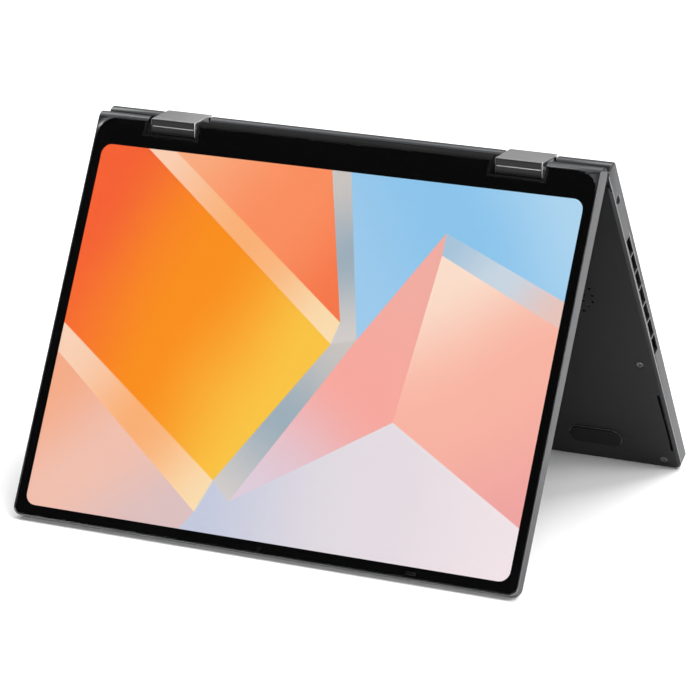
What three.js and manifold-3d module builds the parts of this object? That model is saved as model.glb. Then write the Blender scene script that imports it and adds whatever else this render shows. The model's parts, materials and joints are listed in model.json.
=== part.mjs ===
// A convertible laptop computer standing as a tent: the lid and the base hang from two
// geared hinge links, the display faces -Y and the keyboard faces +Y. Millimetres, +Z up.
// Left and right are the typist's, so the typist's left is +X.
import * as THREE from "three";
import { mergeVertices } from "three/addons/utils/BufferGeometryUtils.js";
import Module from "manifold-3d";

const wasm = await Module();
wasm.setup();

// ---- Driving dimensions ----
const WIDTH = 296.4; // across both halves, along the hinge line
const HALF_WIDTH = WIDTH / 2;
const LID_LEAN = 27.5; // degrees between the lid and the vertical
const BASE_LEAN = 30.9; // degrees between the base and the vertical
const AXIS_SPACING = 11.8; // from the lid's hinge axis to the base's
const GAP = 0.3; // clearance left between pieces that rest on each other

const LID_LENGTH = 223.2; // hinge axis to the lid's free edge
const LID_NOSE_RADIUS = 5;
const LID_NOSE_Y = 0.5;
const LID_TAPER = 0.0165; // fall of the lid's back per mm towards its free edge
const LID_WALL = 1.3;
const GLASS_EDGE = 0.8; // metal rim around the cover glass
const GLASS_START = -0.6; // where the glass begins, near the hinge axis
const GLASS_THICKNESS = 0.6;
const ACTIVE_WIDTH = 284.2;
const ACTIVE_LENGTH = 202.1;
const ACTIVE_START = 14.5;

const BASE_LENGTH = 229.6; // hinge axis to the base's front edge
const BASE_NOSE_RADIUS = 5.2;
const BASE_NOSE_Y = 1.2;
const DECK_PLANE = 5.3; // height of the palm rest over the base's hinge axis
const BOTTOM_TAPER = 0.0106; // rise of the underside per mm towards the front
const DECK_THICKNESS = 1.5;
const SIDE_WALL = 2;
const COVER_THICKNESS = 1.1;
const COVER_BEVEL = 1.6;
const COVER_START = 8;
const CORNER_RADIUS = 5;

const LINK_CENTRE = 102.1; // from the middle of the laptop to the middle of a link
const LINK_WIDTH = 27;
const LINK_HALF_DEPTH = 10.3;
const LINK_HALF_HEIGHT = 4.5;
const NOTCH_HALF_WIDTH = LINK_WIDTH / 2 + 2;
const NOTCH_DEPTH = 6.6;
const SHAFT_RADIUS = 1.4;
const ARM_LENGTH = 24;

const GEAR_TEETH = 10;
const GEAR_PITCH_RADIUS = AXIS_SPACING / 6; // four equal gears fill the axis spacing
const GEAR_WIDTH = 4;

const KEY_PITCH = 18.2;
const KEY_GAP = 2.2;
const KEY_TRAVEL = 1.2;
const KEY_TOP = DECK_PLANE - 0.2;
const WEB_TOP = 3.4; // the flexible sheet that ties the keys of a row together
const WEB_BOTTOM = 3;
const KEYBOARD_START = 22;
const KEYBOARD_UNITS = 14.75;
const FUNCTION_ROW_DEPTH = 11.6;
const ROW_DEPTH = 17.4;

// ---- Finishes ----
const finish = (color, roughness, metalness) =>
  new THREE.MeshStandardMaterial({ color, roughness, metalness });
const FINISHES = {
  darkAluminium: () => finish(0x5c5e61, 0.42, 0.9),
  blackGlass: () => finish(0x050506, 0.05, 0),
  screen: () => finish(0xf0864a, 0.3, 0),
  blackPlastic: () => finish(0x141516, 0.6, 0),
  keyPlastic: () => finish(0x1c1d1f, 0.55, 0),
  rubber: () => finish(0x101010, 0.85, 0),
  steel: () => finish(0x8b8d90, 0.35, 1),
  board: () => finish(0x14402c, 0.55, 0.1),
  copper: () => finish(0xa9643c, 0.35, 1),
};

// ---- Solids ----
function solidOf(geometry) {
  const bare = geometry.index ? geometry.toNonIndexed() : geometry.clone();
  bare.deleteAttribute("normal");
  bare.deleteAttribute("uv");
  const merged = mergeVertices(bare, 1e-4);
  return new wasm.Manifold(
    new wasm.Mesh({
      numProp: 3,
      vertProperties: new Float32Array(merged.attributes.position.array),
      triVerts: new Uint32Array(merged.index.array),
    }),
  );
}

function geometryOf(solid) {
  const mesh = solid.getMesh();
  const geometry = new THREE.BufferGeometry();
  geometry.setAttribute("position", new THREE.BufferAttribute(mesh.vertProperties, 3));
  geometry.setIndex(new THREE.BufferAttribute(mesh.triVerts, 1));
  geometry.computeVertexNormals();
  return geometry;
}

const join = (first, ...others) => others.reduce((whole, other) => whole.add(other), first);
const cut = (first, ...others) => others.reduce((whole, other) => whole.subtract(other), first);

function box(x, y, z) {
  const geometry = new THREE.BoxGeometry(x[1] - x[0], y[1] - y[0], z[1] - z[0]);
  geometry.translate((x[0] + x[1]) / 2, (y[0] + y[1]) / 2, (z[0] + z[1]) / 2);
  return solidOf(geometry);
}

// A slab of a plan outline, between two heights.
function slab(outline, z, curveSegments = 3) {
  const options = { depth: z[1] - z[0], bevelEnabled: false, curveSegments };
  const geometry = new THREE.ExtrudeGeometry(outline, options);
  geometry.translate(0, 0, z[0]);
  return solidOf(geometry);
}

// A bar of a side profile drawn in Y and Z, running along X.
function bar(profile, x, curveSegments = 6) {
  const options = { depth: x[1] - x[0], bevelEnabled: false, curveSegments };
  const geometry = new THREE.ExtrudeGeometry(profile, options);
  geometry.translate(0, 0, x[0]);
  const turn = new THREE.Matrix4().makeBasis(
    new THREE.Vector3(0, 1, 0),
    new THREE.Vector3(0, 0, 1),
    new THREE.Vector3(1, 0, 0),
  );
  return solidOf(geometry.applyMatrix4(turn));
}

function rodX(radius, x, y, z, segments = 16) {
  const geometry = new THREE.CylinderGeometry(radius, radius, x[1] - x[0], segments);
  geometry.rotateZ(Math.PI / 2);
  geometry.translate((x[0] + x[1]) / 2, y, z);
  return solidOf(geometry);
}

function rodZ(radius, x, y, z, segments = 12) {
  const geometry = new THREE.CylinderGeometry(radius, radius, z[1] - z[0], segments);
  geometry.rotateX(Math.PI / 2);
  geometry.translate(x, y, (z[0] + z[1]) / 2);
  return solidOf(geometry);
}

// A rectangle with round corners: low radius at the low-Y end, high radius at the other.
function roundedOutline(x, y, lowRadius, highRadius) {
  const outline = new THREE.Shape();
  outline.absarc(x[0] + lowRadius, y[0] + lowRadius, lowRadius, Math.PI, 1.5 * Math.PI);
  outline.absarc(x[1] - lowRadius, y[0] + lowRadius, lowRadius, 1.5 * Math.PI, 2 * Math.PI);
  outline.absarc(x[1] - highRadius, y[1] - highRadius, highRadius, 0, 0.5 * Math.PI);
  outline.absarc(x[0] + highRadius, y[1] - highRadius, highRadius, 0.5 * Math.PI, Math.PI);
  outline.closePath();
  return outline;
}

function polygon(points) {
  const outline = new THREE.Shape();
  outline.setFromPoints(points.map(([u, v]) => new THREE.Vector2(u, v)));
  return outline;
}

// Spans of x on one side of the laptop, measured outwards from the middle.
const outward = (side, near, far) => (side > 0 ? [near, far] : [-far, -near]);
const SIDES = { left: 1, right: -1 };

// ---- Shared hinge details ----
function notch(side) {
  const centre = side * LINK_CENTRE;
  return box([centre - NOTCH_HALF_WIDTH, centre + NOTCH_HALF_WIDTH], [-9, NOTCH_DEPTH], [-9, 9]);
}

// The tunnel beside a notch that the hinge arm runs through.
function armTunnel(side) {
  const wall = LINK_CENTRE + NOTCH_HALF_WIDTH;
  return box(outward(side, wall - 0.5, wall + 14.4), [-2.3, 9.5], [-2.3, 2.3]);
}

function toothOutline(phase) {
  const root = GEAR_PITCH_RADIUS - 0.42;
  const tip = GEAR_PITCH_RADIUS + 0.28;
  const pitch = (2 * Math.PI) / GEAR_TEETH;
  const points = [];
  for (let tooth = 0; tooth < GEAR_TEETH; tooth += 1) {
    const middle = (tooth + phase) * pitch;
    for (const [radius, offset] of [[root, -0.29], [tip, -0.09], [tip, 0.09], [root, 0.29]]) {
      const angle = middle + offset * pitch;
      points.push([radius * Math.cos(angle), radius * Math.sin(angle)]);
    }
  }
  return polygon(points);
}

const gear = (x, phase) => bar(toothOutline(phase), [x - GEAR_WIDTH / 2, x + GEAR_WIDTH / 2], 1);

// A hinge shaft with its gear, and the flat arm that fastens it inside a half of the laptop.
function hingeArm(side, armZ, phase) {
  const wall = LINK_CENTRE + NOTCH_HALF_WIDTH;
  const shaft = rodX(SHAFT_RADIUS, outward(side, LINK_CENTRE - 12.7, wall + 3), 0, 0, 12);
  const block = box(outward(side, wall + 1.8, wall + 13.8), [-2, 8], [-2, 2]);
  const arm = box(outward(side, wall + 1.8, wall + 13.8), [6, ARM_LENGTH], armZ);
  return join(shaft, gear(side * LINK_CENTRE, phase), block, arm);
}

// ---- Lid: y runs from the hinge axis to the free edge, z from the glass to the back ----
const lidBackAt = (y) => LID_NOSE_RADIUS - LID_TAPER * (y - LID_NOSE_Y);

function lidOuter() {
  const profile = new THREE.Shape();
  profile.moveTo(LID_LENGTH, -LID_NOSE_RADIUS);
  profile.lineTo(LID_LENGTH, lidBackAt(LID_LENGTH) - 0.7);
  profile.lineTo(LID_LENGTH - 0.7, lidBackAt(LID_LENGTH));
  profile.absarc(LID_NOSE_Y, 0, LID_NOSE_RADIUS, 0.5 * Math.PI, 1.5 * Math.PI);
  profile.closePath();
  const plan = roundedOutline([-HALF_WIDTH, HALF_WIDTH], [-6, LID_LENGTH], 2, CORNER_RADIUS);
  return bar(profile, [-HALF_WIDTH, HALF_WIDTH]).intersect(slab(plan, [-8, 8]));
}

function glassOutline(inset) {
  const reach = HALF_WIDTH - GLASS_EDGE - inset;
  const span = [GLASS_START + inset, LID_LENGTH - GLASS_EDGE - inset];
  return roundedOutline([-reach, reach], span, 11 - inset, CORNER_RADIUS - GLASS_EDGE - inset);
}

// The walls that stand around the link notches, inside the glass opening.
function notchGuard(side, extra) {
  const reach = NOTCH_HALF_WIDTH + extra;
  const centre = side * LINK_CENTRE;
  return box([centre - reach, centre + reach], [-9, NOTCH_DEPTH + extra], [-9, 9]);
}

const withoutGuards = (solid, extra) => cut(solid, notchGuard(1, extra), notchGuard(-1, extra));

function lidBackCover() {
  const reach = HALF_WIDTH - 1.8;
  const cavity = bar(
    polygon([
      [9, -6],
      [LID_LENGTH - 1.8, -6],
      [LID_LENGTH - 1.8, lidBackAt(LID_LENGTH) - LID_WALL],
      [9, lidBackAt(9) - LID_WALL],
    ]),
    [-reach, reach],
  );
  const opening = withoutGuards(slab(glassOutline(0), [-6, -2.9]), 1.2);
  return cut(
    lidOuter(),
    withoutGuards(cavity, 1.2),
    opening,
    notch(1),
    notch(-1),
    armTunnel(1),
    armTunnel(-1),
  );
}

function coverGlass() {
  const front = -LID_NOSE_RADIUS;
  return withoutGuards(slab(glassOutline(GAP), [front, front + GLASS_THICKNESS]), 1.5);
}

const PANEL_Z = [-LID_NOSE_RADIUS + GLASS_THICKNESS + GAP, -2];
const PANEL_HALF = ACTIVE_WIDTH / 2 + 1.2;
const PANEL_Y = [ACTIVE_START - 1.2, ACTIVE_START + ACTIVE_LENGTH + 1.2];
const WEBCAM_Y = LID_LENGTH - 3.2;
const SENSOR_X = 87.8;

function displayFrame() {
  const ring = slab(glassOutline(GAP), [PANEL_Z[0], PANEL_Z[0] + 0.9]);
  const window = box(
    [-PANEL_HALF - GAP, PANEL_HALF + GAP],
    [PANEL_Y[0] - GAP, PANEL_Y[1] + GAP],
    [-6, 0],
  );
  const lensHole = rodZ(1.6, 0, WEBCAM_Y, [-6, 0]);
  const sensorHole = box([SENSOR_X - 3, SENSOR_X + 3], [WEBCAM_Y - 1, WEBCAM_Y + 1], [-6, 0]);
  return withoutGuards(cut(ring, window, lensHole, sensorHole), 1.5);
}

const displayPanel = () => box([-PANEL_HALF, PANEL_HALF], PANEL_Y, PANEL_Z);

function webcamModule() {
  const board = box([-15, 15], [WEBCAM_Y - 1.5, WEBCAM_Y + 1.2], [-2.7, -1.2]);
  return join(board, rodZ(1.3, 0, WEBCAM_Y, [PANEL_Z[0] + 0.1, -2.5], 16));
}

function lightSensor() {
  const board = box([SENSOR_X - 6, SENSOR_X + 6], [WEBCAM_Y - 1.5, WEBCAM_Y + 1.2], [-2.7, -1.5]);
  const lens = box(
    [SENSOR_X - 2.7, SENSOR_X + 2.7],
    [WEBCAM_Y - 0.7, WEBCAM_Y + 0.7],
    [PANEL_Z[0] + 0.1, -2.5],
  );
  return join(board, lens);
}

// ---- Base: y runs from the hinge axis to the front edge, z from the underside up ----
const ridgeAt = (y) => DECK_PLANE - 2 * BASE_NOSE_RADIUS + BOTTOM_TAPER * (y - BASE_NOSE_Y);
const BOTTOM_TILT = Math.atan(BOTTOM_TAPER);

function baseOuter() {
  const profile = new THREE.Shape();
  const noseZ = DECK_PLANE - BASE_NOSE_RADIUS;
  profile.moveTo(BASE_LENGTH, ridgeAt(BASE_LENGTH));
  profile.lineTo(BASE_LENGTH, DECK_PLANE);
  profile.absarc(BASE_NOSE_Y, noseZ, BASE_NOSE_RADIUS, 0.5 * Math.PI, 1.5 * Math.PI);
  profile.closePath();
  const plan = roundedOutline([-HALF_WIDTH, HALF_WIDTH], [-6, BASE_LENGTH], 2, CORNER_RADIUS);
  return bar(profile, [-HALF_WIDTH, HALF_WIDTH]).intersect(slab(plan, [-8, 8]));
}

const SCREW_PLACES = [
  [138.6, 222.8],
  [-138.6, 222.8],
  [138.6, 144.3],
  [-138.6, 144.3],
  [46, 222.8],
  [-46, 222.8],
  [66, 14],
  [-66, 14],
];
const SCREW_HEAD_RADIUS = 2.2;
const BOSS_RADIUS = 3;

const JACK = { y: 20, z: -1.4, radius: 2.5 };
const VENT = { first: 48.8, pitch: 12.7, count: 7, length: 11.5, height: 5.06, rise: 1.25 };
const SOCKETS = [
  { name: "usb_c_socket_rear", y: 24, width: 9, height: 3.2, tongue: 0.8 },
  { name: "usb_c_socket_front", y: 40, width: 9, height: 3.2, tongue: 0.8 },
  { name: "usb_a_socket", y: 60, width: 13.2, height: 4.6, tongue: 1.8 },
];
const SOCKET_DEPTH = 12.4;
const socketZ = (socket) => ridgeAt(socket.y) + 4.2;

function ventSlots() {
  const slots = [];
  for (let index = 0; index < VENT.count; index += 1) {
    const start = VENT.first + index * VENT.pitch;
    const low = ridgeAt(start + VENT.length / 2) + VENT.rise;
    const x = [HALF_WIDTH - SIDE_WALL - 1, HALF_WIDTH + 1];
    slots.push(box(x, [start, start + VENT.length], [low, low + VENT.height]));
  }
  return slots;
}

function socketOpenings() {
  const x = [-HALF_WIDTH - 1, -HALF_WIDTH + SIDE_WALL + 1];
  return SOCKETS.map((socket) => {
    const y = [socket.y - socket.width / 2 - GAP, socket.y + socket.width / 2 + GAP];
    const z = [
      socketZ(socket) - socket.height / 2 - GAP,
      socketZ(socket) + socket.height / 2 + GAP,
    ];
    return box(x, y, z);
  });
}

const KEYBOARD_HALF = (KEYBOARD_UNITS * KEY_PITCH) / 2;
const KEYBOARD_END = KEYBOARD_START + FUNCTION_ROW_DEPTH + 5 * ROW_DEPTH;
const WELL_MARGIN = 1.2;
const TOUCHPAD = { halfWidth: 59, start: 145, end: 214 };

const screwBoss = ([x, y]) => rodZ(BOSS_RADIUS, x, y, [ridgeAt(y) + GAP, DECK_PLANE - 1]);

function deck() {
  const underside = DECK_PLANE - DECK_THICKNESS;
  const cavity = slab(
    roundedOutline(
      [-HALF_WIDTH + SIDE_WALL, HALF_WIDTH - SIDE_WALL],
      [9, BASE_LENGTH - SIDE_WALL],
      2,
      CORNER_RADIUS - SIDE_WALL,
    ),
    [-9, underside],
  );
  const well = slab(
    roundedOutline(
      [-KEYBOARD_HALF - WELL_MARGIN, KEYBOARD_HALF + WELL_MARGIN],
      [KEYBOARD_START - WELL_MARGIN, KEYBOARD_END + WELL_MARGIN],
      2,
      2,
    ),
    [0, 9],
  );
  const padOpening = slab(
    roundedOutline(
      [-TOUCHPAD.halfWidth - GAP, TOUCHPAD.halfWidth + GAP],
      [TOUCHPAD.start - GAP, TOUCHPAD.end + GAP],
      2.3,
      2.3,
    ),
    [0, 9],
  );
  const jackHole = rodX(JACK.radius, [HALF_WIDTH - 4, HALF_WIDTH + 1], JACK.y, JACK.z);
  const shell = cut(
    baseOuter(),
    withoutGuards(cavity, 1.2),
    well,
    padOpening,
    jackHole,
    ...ventSlots(),
    ...socketOpenings(),
    notch(1),
    notch(-1),
    armTunnel(1),
    armTunnel(-1),
  );
  const bosses = SCREW_PLACES.map(screwBoss);
  const threads = SCREW_PLACES.map(([x, y]) => rodZ(1.2, x, y, [-9, 2.5]));
  return cut(join(shell, ...bosses), ...threads);
}

const FOOT = { x: 100, y: 209.6, halfLength: 15.5, halfWidth: 5.9, drop: 1.6 };
const REAR_FOOT = { x: 100, y: 30, halfLength: 15.5, halfWidth: 3, drop: 0.7 };
const SPEAKER_SLOT = { x: 145.2, y: [167.4, 213.8], width: 1.8 };
const INTAKE = { x: 106, y: 92.3, rings: [0, 5, 10, 15], holeRadius: 1.1, spacing: 5.2 };

function capsule(x, y, halfLength, halfWidth) {
  const span = [x - halfLength, x + halfLength];
  return roundedOutline(span, [y - halfWidth, y + halfWidth], halfWidth, halfWidth);
}

function intakeHoles() {
  const holes = [];
  for (const ring of INTAKE.rings) {
    const count = Math.max(1, Math.round((2 * Math.PI * ring) / INTAKE.spacing));
    for (let index = 0; index < count; index += 1) {
      const angle = (2 * Math.PI * index) / count;
      const x = INTAKE.x + ring * Math.cos(angle);
      const y = INTAKE.y + ring * Math.sin(angle);
      holes.push(rodZ(INTAKE.holeRadius, x, y, [-3, 3], 6));
    }
  }
  return holes;
}

// The bottom cover lies flat here: z is 0 on its inner face and falls towards the outside.
function bottomCoverFlat() {
  const inner = HALF_WIDTH - COVER_BEVEL;
  const outline = roundedOutline(
    [-inner, inner],
    [COVER_START + COVER_BEVEL, BASE_LENGTH - COVER_BEVEL],
    1,
    CORNER_RADIUS - COVER_BEVEL,
  );
  const geometry = new THREE.ExtrudeGeometry(outline, {
    depth: 1,
    bevelThickness: COVER_THICKNESS,
    bevelSize: COVER_BEVEL,
    bevelSegments: 1,
    curveSegments: 3,
  });
  const upperHalf = box([-200, 200], [-50, 300], [0, 9]);
  const recesses = [];
  const speakerSlots = [];
  for (const side of [1, -1]) {
    for (const foot of [FOOT, REAR_FOOT]) {
      const well = capsule(side * foot.x, foot.y, foot.halfLength + 0.4, foot.halfWidth + 0.4);
      recesses.push(slab(well, [-3, -COVER_THICKNESS + 0.4]));
    }
    const near = SPEAKER_SLOT.x - SPEAKER_SLOT.width / 2;
    const far = SPEAKER_SLOT.x + SPEAKER_SLOT.width / 2;
    const slot = roundedOutline(outward(side, near, far), SPEAKER_SLOT.y, 0.9, 0.9);
    speakerSlots.push(slab(slot, [-3, 3]));
  }
  const screwHoles = SCREW_PLACES.map(([x, y]) => rodZ(SCREW_HEAD_RADIUS + GAP, x, y, [-3, 3]));
  return cut(
    solidOf(geometry),
    upperHalf,
    ...recesses,
    ...speakerSlots,
    ...screwHoles,
    ...intakeHoles(),
  );
}

function foot(place, side) {
  const outline = capsule(side * place.x, place.y, place.halfLength, place.halfWidth);
  return slab(outline, [-COVER_THICKNESS - place.drop, -COVER_THICKNESS + 0.1]);
}

function screw([x, y]) {
  const head = rodZ(SCREW_HEAD_RADIUS, x, y, [-COVER_THICKNESS + 0.2, -0.1]);
  return join(head, rodZ(1, x, y, [-0.3, 4]));
}

// ---- Keyboard and touchpad ----
function keyCap(xHigh, width, y) {
  const half = KEY_GAP / 2;
  const geometry = new THREE.CylinderGeometry(1, 1.06, KEY_TOP - WEB_BOTTOM, 4);
  geometry.rotateY(Math.PI / 4);
  geometry.rotateX(Math.PI / 2);
  const depth = y[1] - y[0] - KEY_GAP;
  geometry.scale((width - KEY_GAP) / 1.5, depth / 1.5, 1);
  geometry.translate(xHigh - half - (width - KEY_GAP) / 2, y[0] + half + depth / 2, 0);
  geometry.translate(0, 0, (KEY_TOP + WEB_BOTTOM) / 2);
  return solidOf(geometry);
}

// Keys run from the typist's left, so x falls along the row.
function keyRow(y, start, widths) {
  let x = KEYBOARD_HALF - start * KEY_PITCH;
  const first = x;
  const caps = [];
  for (const units of widths) {
    caps.push(keyCap(x, units * KEY_PITCH, y));
    x -= units * KEY_PITCH;
  }
  const web = box([x + 0.4, first - 0.4], [y[0] + 0.3, y[1] - 0.3], [WEB_BOTTOM, WEB_TOP]);
  return join(web, ...caps);
}

function rowSpan(index) {
  if (index === 0) return [KEYBOARD_START, KEYBOARD_START + FUNCTION_ROW_DEPTH];
  const start = KEYBOARD_START + FUNCTION_ROW_DEPTH + (index - 1) * ROW_DEPTH;
  return [start, start + ROW_DEPTH];
}

const FUNCTION_UNITS = KEYBOARD_UNITS / 14;
const KEY_ROWS = [
  { name: "function_key_row", row: 0, start: 0, widths: Array(13).fill(FUNCTION_UNITS) },
  { name: "power_button", row: 0, start: 13 * FUNCTION_UNITS, widths: [FUNCTION_UNITS] },
  { name: "number_key_row", row: 1, start: 0, widths: [...Array(13).fill(1), 1.75] },
  { name: "upper_letter_row", row: 2, start: 0, widths: [1.5, ...Array(12).fill(1), 1.25] },
  { name: "home_letter_row", row: 3, start: 0, widths: [1.75, ...Array(11).fill(1), 2] },
  { name: "lower_letter_row", row: 4, start: 0, widths: [2.25, ...Array(10).fill(1), 2.5] },
  { name: "left_modifier_keys", row: 5, start: 0, widths: [1.25, 1, 1, 1] },
  { name: "space_bar", row: 5, start: 4.25, widths: [5] },
  { name: "right_modifier_keys", row: 5, start: 9.25, widths: [1, 1.5, 1, 1, 1] },
];

function keyboardPlate() {
  const x = KEYBOARD_HALF + 0.9;
  const y = [KEYBOARD_START - 4, KEYBOARD_END + 4];
  return box([-x, x], y, [0.9, WEB_BOTTOM - KEY_TRAVEL - GAP]);
}

function touchpad() {
  const x = [-TOUCHPAD.halfWidth, TOUCHPAD.halfWidth];
  return slab(roundedOutline(x, [TOUCHPAD.start, TOUCHPAD.end], 2, 2), [3.7, DECK_PLANE - 0.2]);
}

// ---- Inside the base ----
function mainboard() {
  const board = box([-120, 80], [30, 104], [-2.6, -1.4]);
  const processor = box([20, 44], [56, 80], [-1.5, -0.2]);
  const memory = [-30, -12].map((x) => box([x, x + 12], [60, 76], [-1.5, -0.4]));
  return join(board, processor, ...memory);
}

function storageDrive() {
  const board = box([-60, 20], [109, 131], [-2.2, -1.4]);
  const chips = [-50, -26].map((x) => box([x, x + 18], [113, 127], [-1.5, -0.3]));
  return join(board, ...chips);
}

const FAN = { x: INTAKE.x, y: INTAKE.y, radius: 21, z: [-3.4, 0.4] };

// A round open-topped blower case whose mouth faces the side vents.
function fanHousing() {
  const { x, y, radius } = FAN;
  const drum = rodZ(radius + 1.2, x, y, FAN.z, 28);
  const duct = box([x, x + radius + 1.2], [y - radius, y + radius], FAN.z);
  const room = rodZ(radius, x, y, [FAN.z[0] - 1, FAN.z[1] - 0.6], 28);
  const ductRoom = box(
    [x, x + radius + 3],
    [y - radius + 1, y + radius - 1],
    [FAN.z[0] - 1, FAN.z[1] - 0.6],
  );
  return cut(join(drum, duct), room, ductRoom, rodZ(1.2, x, y, [-9, 9]));
}

function fanRotor() {
  const { x, y, radius } = FAN;
  const z = [FAN.z[0] + 0.3, FAN.z[1] - 1];
  const hub = rodZ(7, x, y, z, 16);
  const blades = [];
  for (let index = 0; index < 15; index += 1) {
    const geometry = new THREE.BoxGeometry(radius - 7, 0.9, z[1] - z[0]);
    geometry.translate(6 + (radius - 7) / 2, 0, 0);
    geometry.rotateZ((2 * Math.PI * index) / 15);
    geometry.translate(x, y, (z[0] + z[1]) / 2);
    blades.push(solidOf(geometry));
  }
  return join(hub, rodZ(1, x, y, [z[0], FAN.z[1] - 0.1]), ...blades);
}

function heatSink() {
  const x = [FAN.x + FAN.radius + 3.4, HALF_WIDTH - SIDE_WALL - 1];
  const y = [48, 138];
  const plate = box(x, y, [-3.4, -2.6]);
  const fins = [];
  for (let at = y[0]; at <= y[1] - 0.8; at += 4) {
    fins.push(box(x, [at, at + 0.8], [-2.7, 0.5]));
  }
  return join(plate, ...fins);
}

const battery = () => box([-92, 92], [140, 213], [-2.2, 2.4]);

function speaker(side) {
  const body = box(outward(side, 108, 134.5), [150, 206], [-2.2, 3]);
  const grille = rodZ(6, side * 121, 178, [-4, 0], 16);
  return cut(body, grille);
}

function audioJack() {
  const body = box([HALF_WIDTH - 16.4, HALF_WIDTH - 2.6], [JACK.y - 3, JACK.y + 3], [-3.9, 0.6]);
  const collar = rodX(JACK.radius - 0.35, [HALF_WIDTH - 3, HALF_WIDTH - 0.5], JACK.y, JACK.z);
  return cut(join(body, collar), rodX(1.8, [HALF_WIDTH - 14, HALF_WIDTH + 1], JACK.y, JACK.z));
}

function socket({ y, width, height, tongue, ...rest }) {
  const z = socketZ({ y, ...rest });
  const x = [-HALF_WIDTH + 0.4, -HALF_WIDTH + SOCKET_DEPTH];
  const span = (half) => [y - half, y + half];
  const tall = (half) => [z - half, z + half];
  const shell = box(x, span(width / 2), tall(height / 2));
  const mouth = box([x[0] - 1, x[1] - 1], span(width / 2 - 0.4), tall(height / 2 - 0.4));
  const blade = box([x[0] + 1, x[1] - 0.5], span(width / 2 - 1.4), tall(tongue / 2));
  return join(cut(shell, mouth), blade);
}

// ---- Links ----
function linkCover(side) {
  const x = [side * LINK_CENTRE - LINK_WIDTH / 2, side * LINK_CENTRE + LINK_WIDTH / 2];
  const depth = LINK_HALF_DEPTH;
  const height = LINK_HALF_HEIGHT;
  const outer = roundedOutline([-depth, depth], [-height, height], 1, 1);
  const inner = roundedOutline([1.7 - depth, depth - 1.7], [1 - height, height - 1], 0.8, 0.8);
  return cut(bar(outer, x, 2), bar(inner, [x[0] - 1, x[1] + 1], 1));
}

function linkPlate(side, near, far) {
  const x = outward(side, near, far);
  const plate = box(x, [-8.2, 8.2], [-3.1, 3.1]);
  const holes = [];
  const through = [x[0] - 1, x[1] + 1];
  for (const place of [-1, 1]) {
    holes.push(rodX(SHAFT_RADIUS + 0.1, through, (place * AXIS_SPACING) / 2, 0, 12));
    holes.push(rodX(0.9, through, place * GEAR_PITCH_RADIUS, 0, 12));
  }
  return cut(plate, ...holes);
}

function idlerGear(side, place, phase) {
  const centre = side * LINK_CENTRE;
  const axle = rodX(0.8, [centre - 12.6, centre + 12.6], 0, 0, 12);
  return join(gear(centre, phase), axle);
}

// ---- Assembly ----
const laptop = new THREE.Group();
const tent = new THREE.Group();
const lid = new THREE.Group();
const links = new THREE.Group();
const base = new THREE.Group();
const underside = new THREE.Group();
laptop.add(tent);
tent.add(lid, links, base);
base.add(underside);

function add(group, name, solid, material) {
  const mesh = new THREE.Mesh(geometryOf(solid), material());
  mesh.name = name;
  group.add(mesh);
  return mesh;
}

const degrees = THREE.MathUtils.degToRad;
tent.rotation.x = degrees((BASE_LEAN - LID_LEAN) / 2);
const halfAngle = (LID_LEAN + BASE_LEAN) / 2;
lid.position.y = -AXIS_SPACING / 2;
lid.rotation.x = -degrees(90 + halfAngle);
base.position.y = AXIS_SPACING / 2;
base.rotation.x = -degrees(90 - halfAngle);
underside.position.z = ridgeAt(0) - GAP;
underside.rotation.x = BOTTOM_TILT;

// Tooth phases are counted from each half's own y axis, which leans away from the links' y.
const toothTurn = (degreesTurned) => (degreesTurned / 360) * GEAR_TEETH;
const LID_PHASE = toothTurn(90 + halfAngle);
const BASE_PHASE = toothTurn(90 - halfAngle) + 0.5;

add(lid, "lid_back_cover", lidBackCover(), FINISHES.darkAluminium);
add(lid, "display_frame", displayFrame(), FINISHES.blackPlastic);
add(lid, "cover_glass", coverGlass(), FINISHES.blackGlass);
add(lid, "display_panel", displayPanel(), FINISHES.screen);
add(lid, "webcam_module", webcamModule(), FINISHES.blackPlastic);
add(lid, "light_sensor", lightSensor(), FINISHES.blackPlastic);
add(base, "deck", deck(), FINISHES.darkAluminium);
add(underside, "bottom_cover", bottomCoverFlat(), FINISHES.darkAluminium);
add(base, "keyboard_plate", keyboardPlate(), FINISHES.blackPlastic);
add(base, "touchpad", touchpad(), FINISHES.darkAluminium);
add(base, "mainboard", mainboard(), FINISHES.board);
add(base, "storage_drive", storageDrive(), FINISHES.board);
add(base, "fan_housing", fanHousing(), FINISHES.blackPlastic);
add(base, "fan_rotor", fanRotor(), FINISHES.blackPlastic);
add(base, "heat_sink", heatSink(), FINISHES.copper);
add(base, "battery", battery(), FINISHES.blackPlastic);
add(base, "audio_jack", audioJack(), FINISHES.blackPlastic);

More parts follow.
